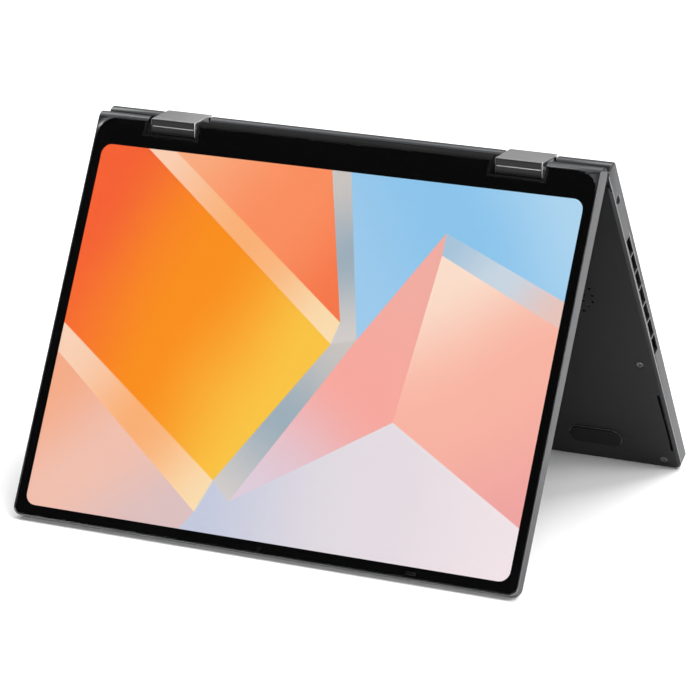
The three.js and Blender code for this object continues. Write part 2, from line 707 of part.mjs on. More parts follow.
for (const row of KEY_ROWS) {
  add(base, row.name, keyRow(rowSpan(row.row), row.start, row.widths), FINISHES.keyPlastic);
}
for (const place of SOCKETS) {
  add(base, place.name, socket(place), FINISHES.steel);
}
for (const [index, place] of SCREW_PLACES.entries()) {
  add(underside, `bottom_screw_${index + 1}`, screw(place), FINISHES.steel);
}
for (const [hand, side] of Object.entries(SIDES)) {
  add(lid, `${hand}_lid_hinge_arm`, hingeArm(side, [0.4, 1.8], LID_PHASE), FINISHES.steel);
  add(base, `${hand}_base_hinge_arm`, hingeArm(side, [-1.9, -0.5], BASE_PHASE), FINISHES.steel);
  add(links, `${hand}_link_cover`, linkCover(side), FINISHES.darkAluminium);
  const innerPlate = linkPlate(side, LINK_CENTRE - 12.5, LINK_CENTRE - 11);
  const outerPlate = linkPlate(side, LINK_CENTRE + 11, LINK_CENTRE + 12.5);
  add(links, `${hand}_link_inner_plate`, innerPlate, FINISHES.steel);
  add(links, `${hand}_link_outer_plate`, outerPlate, FINISHES.steel);
  const lidIdler = add(links, `${hand}_lid_side_gear`, idlerGear(side, -1, 0.5), FINISHES.steel);
  lidIdler.position.y = -GEAR_PITCH_RADIUS;
  const baseIdler = add(links, `${hand}_base_side_gear`, idlerGear(side, 1, 0), FINISHES.steel);
  baseIdler.position.y = GEAR_PITCH_RADIUS;
  add(underside, `front_${hand}_foot`, foot(FOOT, side), FINISHES.rubber);
  add(underside, `rear_${hand}_foot`, foot(REAR_FOOT, side), FINISHES.rubber);
  add(base, `${hand}_speaker`, speaker(side), FINISHES.blackPlastic);
}

// The origin is under the middle of the standing laptop, where it touches the table.
laptop.updateMatrixWorld(true);
const extent = new THREE.Box3().setFromObject(laptop, true);
const middle = extent.getCenter(new THREE.Vector3());
laptop.position.set(-middle.x, -middle.y, -extent.min.z);
laptop.updateMatrixWorld(true);

export default laptop;
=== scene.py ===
"""Looks for a convertible laptop computer that stands as a tent on two geared hinge links.

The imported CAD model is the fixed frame. Shells are refined copies of their CAD solids, the
keyboard, screen, screws and feet are modelled here, and every finish is procedural.
Lengths are metres. A local frame has x along the hinge line, y away from the hinge axis
and z out of the palm rest (base) or out of the back of the lid (lid).
"""

import json
import logging
import math
from collections.abc import Iterable, Sequence
from dataclasses import dataclass, field
from enum import Enum
from typing import ClassVar

import bmesh
import bpy
from mathutils import Matrix, Quaternion, Vector

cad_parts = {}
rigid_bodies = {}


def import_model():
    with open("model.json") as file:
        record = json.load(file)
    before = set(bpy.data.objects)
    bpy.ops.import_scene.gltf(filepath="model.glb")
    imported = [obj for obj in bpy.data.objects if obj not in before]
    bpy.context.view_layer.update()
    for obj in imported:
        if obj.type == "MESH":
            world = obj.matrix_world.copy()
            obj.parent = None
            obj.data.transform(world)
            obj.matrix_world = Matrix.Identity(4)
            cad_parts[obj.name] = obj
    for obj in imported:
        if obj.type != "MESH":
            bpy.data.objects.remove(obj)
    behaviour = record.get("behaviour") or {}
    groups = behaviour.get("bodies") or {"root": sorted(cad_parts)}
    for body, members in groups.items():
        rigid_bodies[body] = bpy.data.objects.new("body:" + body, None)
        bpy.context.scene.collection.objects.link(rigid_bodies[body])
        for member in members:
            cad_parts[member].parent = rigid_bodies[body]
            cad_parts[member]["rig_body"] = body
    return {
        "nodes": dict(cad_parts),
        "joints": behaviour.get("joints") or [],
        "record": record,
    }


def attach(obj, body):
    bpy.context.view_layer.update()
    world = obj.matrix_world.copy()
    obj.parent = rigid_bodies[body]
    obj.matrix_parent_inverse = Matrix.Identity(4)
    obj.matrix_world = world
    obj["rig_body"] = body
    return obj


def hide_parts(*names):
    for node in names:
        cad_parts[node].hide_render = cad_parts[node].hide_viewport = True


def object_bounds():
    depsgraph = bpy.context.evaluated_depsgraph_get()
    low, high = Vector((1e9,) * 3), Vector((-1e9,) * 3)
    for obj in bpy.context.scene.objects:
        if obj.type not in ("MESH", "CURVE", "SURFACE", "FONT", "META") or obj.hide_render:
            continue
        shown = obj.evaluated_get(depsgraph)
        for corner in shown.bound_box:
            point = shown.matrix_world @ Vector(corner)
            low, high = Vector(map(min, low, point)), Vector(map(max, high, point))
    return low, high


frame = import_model()
CAD_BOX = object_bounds()

LOG = logging.getLogger("laptop")
MM = 0.001
SMALLEST_RADIUS = 0.02 * MM
SHARP_TURN = math.radians(40)
Colour = tuple[float, float, float]
Point = tuple[float, float]
Ring = list[Vector]


def paint(red: int, green: int, blue: int) -> Colour:
    """Turns a display colour into the linear values that shaders use.

    Args:
        red: red from 0 to 255.
        green: green from 0 to 255.
        blue: blue from 0 to 255.

    Returns:
        The linear colour.
    """

    def linear(channel: int) -> float:
        """Returns one linear channel."""
        value = channel / 255
        return value / 12.92 if value <= 0.04045 else ((value + 0.055) / 1.055) ** 2.4

    return linear(red), linear(green), linear(blue)


class Side(Enum):
    """The typist's left and right, as node names spell them."""

    LEFT = "left"
    RIGHT = "right"


# ---------------------------------------------------------------- places


@dataclass(frozen=True)
class LocalFrame:
    """A place and direction for a part of the laptop, in the row frame."""

    origin: Vector
    along: Vector
    up: Vector

    @property
    def matrix(self) -> Matrix:
        """The matrix that takes local coordinates to the row frame."""
        across = self.along.cross(self.up)
        turn = Matrix((across, self.along, self.up)).transposed().to_4x4()
        return Matrix.Translation(self.origin) @ turn

    def extent(self, *nodes: str) -> tuple[Vector, Vector]:
        """Measures CAD nodes along this frame's axes.

        Args:
            nodes: names of CAD nodes.

        Returns:
            The lowest and the highest local corner.
        """
        inward = self.matrix.inverted()
        points = [
            inward @ vertex.co for name in nodes for vertex in frame["nodes"][name].data.vertices
        ]
        low = Vector(min(point[axis] for point in points) for axis in range(3))
        high = Vector(max(point[axis] for point in points) for axis in range(3))
        return low, high

    def tilted(self, slope: float) -> "LocalFrame":
        """Returns this frame turned about x, so that its y axis rises by the slope."""
        turn = Quaternion((1, 0, 0), math.atan(slope))
        return LocalFrame(self.origin, turn @ self.along, turn @ self.up)


def joint(name: str) -> dict:
    """Returns the record's joint of that name."""
    return next(entry for entry in frame["joints"] if entry["name"] == name)


def base_frame() -> LocalFrame:
    """Returns the base's frame: y to the front edge, z out of the palm rest."""
    up = -Vector(joint("space_bar_press")["axis"]).normalized()
    return LocalFrame(Vector(joint("base_to_links")["pos_m"]), up.cross(Vector((1, 0, 0))), up)


def lid_frame() -> LocalFrame:
    """Returns the lid's frame: y to the free edge, z from the glass to the back."""
    base = base_frame()
    opening = 2 * math.radians(joint("links_to_lid")["range_deg"][1])
    turn = Quaternion((1, 0, 0), -opening)
    return LocalFrame(Vector(joint("links_to_lid")["pos_m"]), turn @ base.along, turn @ base.up)


def link_frame() -> LocalFrame:
    """Returns the links' frame: y from the lid's axis to the base's, z up."""
    lid, base = (Vector(joint(n)["pos_m"]) for n in ("links_to_lid", "base_to_links"))
    along = (base - lid).normalized()
    return LocalFrame((lid + base) / 2, along, Vector((1, 0, 0)).cross(along))


# ---------------------------------------------------------------- shader graphs


class Graph:
    """Adds and links nodes in one shader tree."""

    MIX_INPUTS = (0, 6, 7)
    MIX_OUTPUT = 2

    def __init__(self, tree: bpy.types.ShaderNodeTree) -> None:
        """Starts on an existing tree."""
        self.tree = tree

    def plug(self, socket: bpy.types.NodeSocket, value: object) -> None:
        """Links another socket to an input, or sets the input to a plain value."""
        if isinstance(value, bpy.types.NodeSocket):
            self.tree.links.new(value, socket)
        else:
            socket.default_value = value

    def fill(self, node: bpy.types.Node, **values: object) -> bpy.types.Node:
        """Fills in a node.

        Args:
            node: the node.
            values: settings of the node, or sockets and values for its inputs, whose names
                are given with underscores for spaces.

        Returns:
            The same node.
        """
        for name, value in values.items():
            if hasattr(node, name):
                setattr(node, name, value)
            else:
                self.plug(node.inputs[name.replace("_", " ")], value)
        return node

    def add(self, kind: str, **values: object) -> bpy.types.Node:
        """Adds a node whose type is kind, without its ShaderNode prefix, and fills it in."""
        return self.fill(self.tree.nodes.new("ShaderNode" + kind), **values)

    def math(self, operation: str, *operands: object, clamp: bool = False) -> bpy.types.NodeSocket:
        """Adds a maths node.

        Args:
            operation: its operation.
            operands: sockets or numbers.
            clamp: whether the result is kept between 0 and 1.

        Returns:
            The node's output.
        """
        node = self.add("Math", operation=operation, use_clamp=clamp)
        for socket, operand in zip(node.inputs, operands):
            self.plug(socket, operand)
        return node.outputs[0]

    def mix(self, factor: object, first: object, second: object) -> bpy.types.NodeSocket:
        """Mixes two colours.

        Args:
            factor: a socket or number; 0 gives the first colour.
            first: a socket or a linear colour.
            second: a socket or a linear colour.

        Returns:
            The mixed colour.
        """
        node = self.add("Mix", data_type="RGBA")
        for index, value in zip(self.MIX_INPUTS, (factor, first, second)):
            self.plug(node.inputs[index], (*value, 1) if isinstance(value, tuple) else value)
        return node.outputs[self.MIX_OUTPUT]

    def noise(
        self, vector: bpy.types.NodeSocket, scale: object, detail: float
    ) -> bpy.types.NodeSocket:
        """Adds a noise texture.

        Args:
            vector: its coordinates.
            scale: a socket or number.
            detail: how many octaves it has.

        Returns:
            The noise value.
        """
        return self.add("TexNoise", Vector=vector, Scale=scale, Detail=detail).outputs[0]

    def bump(
        self, height: bpy.types.NodeSocket, strength: float, depth: float
    ) -> bpy.types.NodeSocket:
        """Adds a bump of a strength and a depth, and returns its normal."""
        node = self.add("Bump", Strength=strength, Distance=depth, Height=height)
        return node.outputs[0]

    def object_coordinates(self) -> bpy.types.NodeSocket:
        """Returns coordinates that ride with the piece, in metres."""
        return self.add("TexCoord").outputs["Object"]


class EffectGroup:
    """A shader effect shared by several finishes, as one node group."""

    name = ""
    inputs: dict[str, str] = {}
    outputs: dict[str, str] = {}

    def tree(self) -> bpy.types.ShaderNodeTree:
        """Returns the group, built once."""
        found = bpy.data.node_groups.get(self.name)
        if found:
            return found
        made = bpy.data.node_groups.new(self.name, "ShaderNodeTree")
        for label, kind in self.inputs.items():
            made.interface.new_socket(name=label, in_out="INPUT", socket_type="NodeSocket" + kind)
        for label, kind in self.outputs.items():
            made.interface.new_socket(name=label, in_out="OUTPUT", socket_type="NodeSocket" + kind)
        graph = Graph(made)
        start, end = made.nodes.new("NodeGroupInput"), made.nodes.new("NodeGroupOutput")
        self.wire(graph, start.outputs, end.inputs)
        return made

    def wire(self, graph: Graph, start: object, end: object) -> None:
        """Wires the inside of the group.

        Args:
            graph: the group's graph.
            start: sockets of the group's inputs.
            end: sockets of the group's outputs.
        """
        raise NotImplementedError

    def place(self, graph: Graph, **values: object) -> bpy.types.Node:
        """Places the group in a material with its own values.

        Args:
            graph: the material's graph.
            values: sockets or values for the group's inputs.

        Returns:
            The group node.
        """
        return graph.add("Group", node_tree=self.tree(), **values)


class FineGrain(EffectGroup):
    """The fine pits of blasted metal or moulded plastic, and a fleck mask."""

    name = "fine_grain"
    inputs = {"Scale": "Float"}
    outputs = {"Height": "Float", "Fleck": "Float"}
    coarse_scale = 0.35
    coarse_share = 0.5
    fleck_level = 0.62

    def wire(self, graph: Graph, start: object, end: object) -> None:
        """Wires two sizes of noise into the height and the flecks."""
        where = graph.object_coordinates()
        pits = graph.noise(where, start["Scale"], 4)
        coarse = graph.noise(where, graph.math("MULTIPLY", start["Scale"], self.coarse_scale), 2)
        swell = graph.math("MULTIPLY", coarse, self.coarse_share)
        graph.plug(end["Height"], graph.math("ADD", pits, swell))
        graph.plug(end["Fleck"], graph.math("GREATER_THAN", pits, self.fleck_level))


class HandlingFilm(EffectGroup):
    """Soft patches left by hands and cloths, which change how a surface shines."""

    name = "handling_film"
    inputs = {"Clean": "Float", "Handled": "Float", "Scale": "Float"}
    outputs = {"Roughness": "Float", "Film": "Float"}
    patch_start = 0.35
    patch_contrast = 2.5

    def wire(self, graph: Graph, start: object, end: object) -> None:
        """Wires slow noise into a roughness between the two given."""
        where = graph.object_coordinates()
        patches = graph.noise(where, start["Scale"], 3)
        above = graph.math("SUBTRACT", patches, self.patch_start)
        film = graph.math("MULTIPLY", above, self.patch_contrast, clamp=True)
        span = graph.math("SUBTRACT", start["Handled"], start["Clean"])
        graph.plug(end["Roughness"], graph.math("MULTIPLY_ADD", film, span, start["Clean"]))
        graph.plug(end["Film"], film)


class EdgeWearAndHighlight(EffectGroup):
    """Paler metal or plastic along edges: partly rubbed wear, partly a painted highlight."""

    name = "edge_wear_and_highlight"
    inputs = {"Color": "Color", "Worn": "Color", "Amount": "Float"}
    outputs = {"Color": "Color"}
    reach = 0.5 * MM
    contrast = 5.0
    break_scale = 260.0
    break_floor = 0.2

    def wire(self, graph: Graph, start: object, end: object) -> None:
        """Wires the turn of the surface near an edge into a broken mask and a mixed colour."""
        rounded = graph.add("Bevel", samples=3, Radius=self.reach)
        facing = graph.add("VectorMath", operation="DOT_PRODUCT")
        graph.plug(facing.inputs[0], rounded.outputs[0])
        graph.plug(facing.inputs[1], graph.add("NewGeometry").outputs["Normal"])
        turn = graph.math("SUBTRACT", 1.0, facing.outputs["Value"])
        raised = graph.math("MULTIPLY", turn, self.contrast, clamp=True)
        breaks = graph.noise(graph.object_coordinates(), self.break_scale, 3)
        broken = graph.math("MULTIPLY", raised, graph.math("ADD", breaks, self.break_floor))
        mask = graph.math("MULTIPLY", broken, start["Amount"], clamp=True)
        # The mixed colour paints a highlight along edges as well as wear.
        graph.plug(end["Color"], graph.mix(mask, start["Color"], start["Worn"]))


# ---------------------------------------------------------------- finishes


class Finish:
    """A material that is made when a piece first needs it."""

    name: str
    built: ClassVar[dict[str, bpy.types.Material]] = {}

    def material(self) -> bpy.types.Material:
        """Returns the material, built once."""
        if self.name in self.built:
            return self.built[self.name]
        made = self.built[self.name] = bpy.data.materials.new(f"{self.name}_finish")
        made.use_nodes = True
        made.node_tree.nodes.clear()
        graph = Graph(made.node_tree)
        shader, sink = graph.add("BsdfPrincipled"), graph.add("OutputMaterial")
        graph.plug(sink.inputs[0], shader.outputs[0])
        self.dress(graph, shader)
        return made

    def dress(self, graph: Graph, shader: bpy.types.Node) -> None:
        """Sets the shader's values and links its textures.

        Args:
            graph: the material's graph.
            shader: its Principled BSDF.
        """
        raise NotImplementedError


@dataclass(frozen=True)
class SurfaceFinish(Finish):
    """Metal, plastic or rubber with grain, handling marks, and paler edges that are partly wear and
    partly a painted highlight.
    """

    name: str
    colour: Colour
    worn_highlight: Colour
    clean: float
    handled: float
    metallic: float = 0.0
    grain: float = 2600.0
    pit_depth: float = 0.02 * MM
    wear_highlight: float = 0.5
    film_scale: float = 18.0
    coat: float = 0.0
    specular: float = 0.5
    pit_strength: ClassVar[float] = 0.35
    fleck_share: ClassVar[float] = 0.35
    fleck_gain: ClassVar[float] = 1.35
    fleck_floor: ClassVar[float] = 0.004

    @property
    def fleck_colour(self) -> Colour:
        """The slightly paler colour of the flecks."""
        return tuple(min(1.0, self.fleck_gain * part + self.fleck_floor) for part in self.colour)

    def dress(self, graph: Graph, shader: bpy.types.Node) -> None:
        """Dresses the shader with the three shared effects."""
        grain = FineGrain().place(graph, Scale=self.grain)
        film = HandlingFilm().place(
            graph, Clean=self.clean, Handled=self.handled, Scale=self.film_scale
        )
        # Paler colour near edges: partly wear, partly a painted highlight.
        wear_highlight = EdgeWearAndHighlight().place(graph, Worn=(*self.worn_highlight, 1), Amount=self.wear_highlight)
        share = graph.math("MULTIPLY", grain.outputs["Fleck"], self.fleck_share)
        graph.plug(wear_highlight.inputs["Color"], graph.mix(share, self.colour, self.fleck_colour))
        graph.fill(
            shader,
            Base_Color=wear_highlight.outputs["Color"],
            Roughness=film.outputs["Roughness"],
            Normal=graph.bump(grain.outputs["Height"], self.pit_strength, self.pit_depth),
            Metallic=self.metallic,
            Coat_Weight=self.coat,
            Specular_IOR_Level=self.specular,
        )


@dataclass(frozen=True)
class BrushedFinish(Finish):
    """Turned or rolled metal with fine lines along one direction."""

    name: str
    colour: Colour
    roughness: float
    stretch: tuple[float, float, float] = (60.0, 2600.0, 2600.0)
    worn_highlight: Colour = (0.75, 0.75, 0.76)
    roughness_span: float = 0.2
    dark_share: float = 0.72

    def dress(self, graph: Graph, shader: bpy.types.Node) -> None:
        """Stretches noise into lines for the colour, roughness and bump."""
        mapping = graph.add("Mapping", Vector=graph.object_coordinates(), Scale=self.stretch)
        lines = graph.noise(mapping.outputs[0], 1.0, 3)
        darker = tuple(channel * self.dark_share for channel in self.colour)
        # Paler colour near edges: partly wear, partly a painted highlight.
        wear_highlight = EdgeWearAndHighlight().place(graph, Worn=(*self.worn_highlight, 1), Amount=0.4)
        graph.plug(wear_highlight.inputs["Color"], graph.mix(lines, darker, self.colour))
        lowest = self.roughness - self.roughness_span / 2
        graph.fill(
            shader,
            Base_Color=wear_highlight.outputs["Color"],
            Roughness=graph.math("MULTIPLY_ADD", lines, self.roughness_span, lowest),
            Normal=graph.bump(lines, strength=0.25, depth=0.01 * MM),
            Metallic=1.0,
        )


@dataclass(frozen=True)
class BoardFinish(Finish):
    """Solder mask with buried tracks and small pads."""

    name: str
    mask: Colour
    track: Colour
    pad: Colour
    track_scale: float = 420.0
    track_width: float = 0.06
    pad_scale: float = 900.0
    pad_size: float = 0.16

    def dress(self, graph: Graph, shader: bpy.types.Node) -> None:
        """Draws square cells for tracks and sparse cells for pads."""
        where = graph.object_coordinates()
        cells = graph.add("TexVoronoi", feature="DISTANCE_TO_EDGE", Vector=where)
        graph.fill(cells, Scale=self.track_scale)
        pads = graph.add("TexVoronoi", distance="CHEBYCHEV", Scale=self.pad_scale, Vector=where)
        lines = graph.math("LESS_THAN", cells.outputs["Distance"], self.track_width)
        dots = graph.math("LESS_THAN", pads.outputs["Distance"], self.pad_size)
        tracked = graph.mix(lines, self.mask, self.track)
        film = HandlingFilm().place(graph, Clean=0.3, Handled=0.5, Scale=60.0)
        graph.fill(
            shader,
            Base_Color=graph.mix(dots, tracked, self.pad),
            Roughness=film.outputs["Roughness"],
            Normal=graph.bump(graph.math("ADD", lines, dots), strength=0.4, depth=0.03 * MM),
        )


@dataclass(frozen=True)
class GlassFinish(Finish):
    """Clear polished glass with faint finger marks."""

    name: str
    clear: Colour = (0.995, 0.995, 0.995)
    smeared: Colour = (0.985, 0.985, 0.99)

    def dress(self, graph: Graph, shader: bpy.types.Node) -> None:
        """Sets clear glass and lets the film change its polish a little."""
        film = HandlingFilm().place(graph, Clean=0.01, Handled=0.045, Scale=14.0)
        tint = graph.mix(film.outputs["Film"], self.clear, self.smeared)
        graph.fill(shader, Base_Color=tint, Roughness=film.outputs["Roughness"])
        graph.fill(shader, Transmission_Weight=1.0, IOR=1.45)


@dataclass(frozen=True)
class FacetFinish(Finish):
    """One lit facet of the wallpaper: a blend of colours from one place to another."""

    name: str
    start: Vector
    end: Vector
    colours: tuple[Colour, ...]
    drift_scale: float = 9.0
    drift_span: float = 0.24
    unlit_share: float = 0.03

    def dress(self, graph: Graph, shader: bpy.types.Node) -> None:
        """Runs a colour ramp along the facet, with a slow drift so that no line is straight."""
        where = graph.object_coordinates()
        run = self.end - self.start
        dot = graph.add("VectorMath", operation="DOT_PRODUCT")
        offset = graph.add("VectorMath", operation="SUBTRACT")
        graph.plug(offset.inputs[0], where)
        graph.plug(offset.inputs[1], self.start)
        graph.plug(dot.inputs[0], offset.outputs[0])
        graph.plug(dot.inputs[1], run / run.length_squared)
        waves = graph.noise(where, self.drift_scale, 1)
        drift = graph.math("MULTIPLY_ADD", waves, self.drift_span, -self.drift_span / 2)
        ramp = graph.add("ValToRGB")
        graph.plug(ramp.inputs[0], graph.math("ADD", dot.outputs["Value"], drift))
        stops = ramp.color_ramp.elements
        ramp.color_ramp.interpolation = "EASE"
        while len(stops) < len(self.colours):
            stops.new(0.5)
        for index, colour in enumerate(self.colours):
            stops[index].position = index / (len(self.colours) - 1)
            stops[index].color = (*colour, 1)
        unlit = graph.mix(1 - self.unlit_share, ramp.outputs[0], (0.0, 0.0, 0.0))
        graph.fill(shader, Emission_Color=ramp.outputs[0], Emission_Strength=1.0)
        graph.fill(shader, Base_Color=unlit, Roughness=0.6, Specular_IOR_Level=0.0)


@dataclass(frozen=True)
class InkFinish(Finish):
    """The matt black print behind the border of the glass."""

    name: str
    ink: Colour = (0.0006, 0.0006, 0.0007)
    dot: Colour = (0.0012, 0.0012, 0.0013)

    def dress(self, graph: Graph, shader: bpy.types.Node) -> None:
        """Prints nearly black ink with a fine dot."""
        grain = FineGrain().place(graph, Scale=5200.0)
        print_colour = graph.mix(grain.outputs["Fleck"], self.ink, self.dot)
        film = HandlingFilm().place(graph, Clean=0.6, Handled=0.7, Scale=40.0)
        graph.fill(shader, Base_Color=print_colour, Roughness=film.outputs["Roughness"])
        graph.fill(shader, Specular_IOR_Level=0.0)


DARK_ALUMINIUM = SurfaceFinish(
    "dark_aluminium", (0.064, 0.065, 0.068), worn_highlight=(0.24, 0.24, 0.25), metallic=0.85,
    clean=0.36, handled=0.41, grain=3000.0, wear_highlight=0.35,
)
# Darker copy of the shell aluminium for the bottom cover: painted shade for the inside of the tent.
SHADED_COVER_ALUMINIUM = SurfaceFinish(
    "cover_aluminium", (0.024, 0.024, 0.025), worn_highlight=(0.14, 0.14, 0.145), metallic=0.8,
    clean=0.36, handled=0.48, grain=3000.0, wear_highlight=0.35,
)
# Lighter copy of the shell metal for chamfers, foot rims and the touchpad's edge band: painted
# highlight lines.
EDGE_HIGHLIGHT = SurfaceFinish(
    "edge_highlight", (0.26, 0.26, 0.27), worn_highlight=(0.45, 0.45, 0.46), metallic=1.0, clean=0.24,
    handled=0.34, grain=5000.0, pit_depth=0.004 * MM,
)
LINK_METAL = SurfaceFinish(
    "link_metal", (0.42, 0.42, 0.425), worn_highlight=(0.6, 0.6, 0.6), metallic=0.9, clean=0.3,
    handled=0.42, grain=3600.0, pit_depth=0.01 * MM,
)
# Near-black finish on the links' end faces: painted shade.
LINK_END_SHADE = SurfaceFinish(
    "link_end", (0.008, 0.008, 0.008), worn_highlight=(0.06, 0.06, 0.06), clean=0.36, handled=0.46,
    grain=3600.0, pit_depth=0.01 * MM, specular=0.3,
)
BLACK_PLASTIC = SurfaceFinish(
    "black_plastic", (0.012, 0.012, 0.013), worn_highlight=(0.05, 0.05, 0.05), clean=0.5,
    handled=0.66, grain=1900.0, wear_highlight=0.25,
)
# Near-black finish on the notch walls: painted shade in the link notches.
NOTCH_SHADE = SurfaceFinish(
    "notch_painted_shade", (0.002, 0.002, 0.002), worn_highlight=(0.01, 0.01, 0.01), clean=0.7, handled=0.85,
    grain=1900.0, wear_highlight=0.1, specular=0.1,
)
KEY_PLASTIC = SurfaceFinish(
    "key_plastic", (0.007, 0.007, 0.008), worn_highlight=(0.04, 0.04, 0.04), clean=0.46, handled=0.6,
    grain=4200.0, film_scale=70.0, specular=0.3,
)
KEY_SHEET = SurfaceFinish(
    "key_sheet", (0.006, 0.006, 0.007), worn_highlight=(0.02, 0.02, 0.02), clean=0.7, handled=0.85,
    grain=2400.0, wear_highlight=0.1,
)
RUBBER = SurfaceFinish(
    "rubber", (0.0025, 0.0025, 0.0025), worn_highlight=(0.01, 0.01, 0.01), clean=0.7, handled=0.86,
    grain=1500.0, pit_depth=0.05 * MM, specular=0.2,
)
BATTERY_WRAP = SurfaceFinish(
    "battery_wrap", (0.015, 0.016, 0.018), worn_highlight=(0.05, 0.05, 0.05), clean=0.3, handled=0.5,
    grain=900.0, film_scale=45.0,
)
STEEL = BrushedFinish("steel", (0.46, 0.46, 0.47), 0.34)
DARK_STEEL = BrushedFinish("dark_steel", (0.16, 0.16, 0.165), 0.34)
COPPER = BrushedFinish("copper", (0.62, 0.30, 0.15), 0.34)
BOARD = BoardFinish("board", (0.008, 0.055, 0.03), (0.014, 0.09, 0.05), (0.5, 0.42, 0.2))
CLEAR_GLASS = GlassFinish("cover_glass")
BLACK_INK = InkFinish("black_ink")
SENSOR_WINDOW = SurfaceFinish(
    "sensor_window", (0.02, 0.02, 0.022), worn_highlight=(0.03, 0.03, 0.03), clean=0.15, handled=0.25,
    grain=900.0, wear_highlight=0.0,
)
LENS = SurfaceFinish(
    "lens", (0.004, 0.005, 0.012), worn_highlight=(0.01, 0.01, 0.02), clean=0.05, handled=0.1,
    grain=400.0, wear_highlight=0.0, coat=1.0,
)


# ---------------------------------------------------------------- mesh building


def arc(centre: Point, radius: float, start: float, steps: int) -> list[Point]:
    """Returns the points of a quarter turn.

    Args:
        centre: the arc's centre.
        radius: its radius.
        start: its first angle, in quarter turns.
        steps: how many parts it is divided into.

    Returns:
        The points, counter-clockwise.
    """
    angles = [(start + index / steps) * math.pi / 2 for index in range(steps + 1)]
    return [(centre[0] + radius * math.cos(a), centre[1] + radius * math.sin(a)) for a in angles]


@dataclass(frozen=True)
class RoundedPlan:
    """A rectangle with round corners, drawn on a local plane."""

    x: Point
    y: Point
    radius: float
    steps: int

    def ring(self, z: float, inset: float = 0.0) -> Ring:
        """Draws the outline at a height.

        Args:
            z: the height.
            inset: how far the outline is pulled inwards.

        Returns:
            The ring's points, counter-clockwise.
        """
        radius = max(self.radius - inset, SMALLEST_RADIUS)
        low_x, high_x = self.x[0] + inset + radius, self.x[1] - inset - radius
        low_y, high_y = self.y[0] + inset + radius, self.y[1] - inset - radius
        corners = ((high_x, high_y), (low_x, high_y), (low_x, low_y), (high_x, low_y))
        points = [p for turn, c in enumerate(corners) for p in arc(c, radius, turn, self.steps)]
        return [Vector((x, y, z)) for x, y in points]


def capsule(x: float, y: float, half_length: float, half_width: float) -> RoundedPlan:
    """Returns the plan of a bar with round ends."""
    across, along = (x - half_length, x + half_length), (y - half_width, y + half_width)
    return RoundedPlan(across, along, half_width, 9)


def loft(
    mesh: bmesh.types.BMesh,
    rings: Sequence[Ring],
    slots: Sequence[int] = (),
    cyclic: bool = False,
) -> None:
    """Joins rings of equal length into a closed skin.

    Args:
        mesh: the mesh that the skin is added to.
        rings: the outlines in order.
        slots: the material index of each band; 0 where it is short.
        cyclic: whether the last ring joins the first, and there are no caps.
    """
    rows = [[mesh.verts.new(point) for point in ring] for ring in rings]
    faces = []
    pairs = list(zip(rows, rows[1:])) + ([(rows[-1], rows[0])] if cyclic else [])
    for band, (lower, upper) in enumerate(pairs):
        for index in range(len(lower)):
            after = (index + 1) % len(lower)
            face = mesh.faces.new((lower[index], lower[after], upper[after], upper[index]))
            face.material_index = slots[band] if band < len(slots) else 0
            faces.append(face)
    if not cyclic:
        faces += [mesh.faces.new(list(reversed(rows[0]))), mesh.faces.new(rows[-1])]
    bmesh.ops.recalc_face_normals(mesh, faces=faces)


@dataclass
class Piece:
    """A visible piece of the object and what the frame has to know about it."""

    name: str
    body: str
    slot: str
    finishes: Sequence[Finish]
    replaces: Sequence[str] = ()
    place: Matrix = field(default_factory=lambda: Matrix.Identity(4))
    sharp: float = 35.0

    def finish_off(self, mesh: bmesh.types.BMesh) -> bpy.types.Object:
        """Turns the mesh into a dressed object that rides on its body, and reports it.

        Args:
            mesh: the finished mesh, in the piece's local frame.

        Returns:
            The object.
        """
        data = bpy.data.meshes.new(self.name)
        mesh.to_mesh(data)
        mesh.free()
        for finish in self.finishes:
            data.materials.append(finish.material())
        data.shade_smooth()
        data.set_sharp_from_angle(angle=math.radians(self.sharp))
        thing = bpy.data.objects.new(self.name, data)
        bpy.context.scene.collection.objects.link(thing)
        thing.matrix_world = self.place
        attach(thing, self.body)
        if self.replaces:
            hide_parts(*self.replaces)
        LOG.info("piece %s on %s, %d faces", self.name, self.body, len(data.polygons))
        return thing


class Chamfer(Enum):
    """Which edges of a shell are broken."""

    ALL = "ANGLE"
    RIM = "WEIGHT"


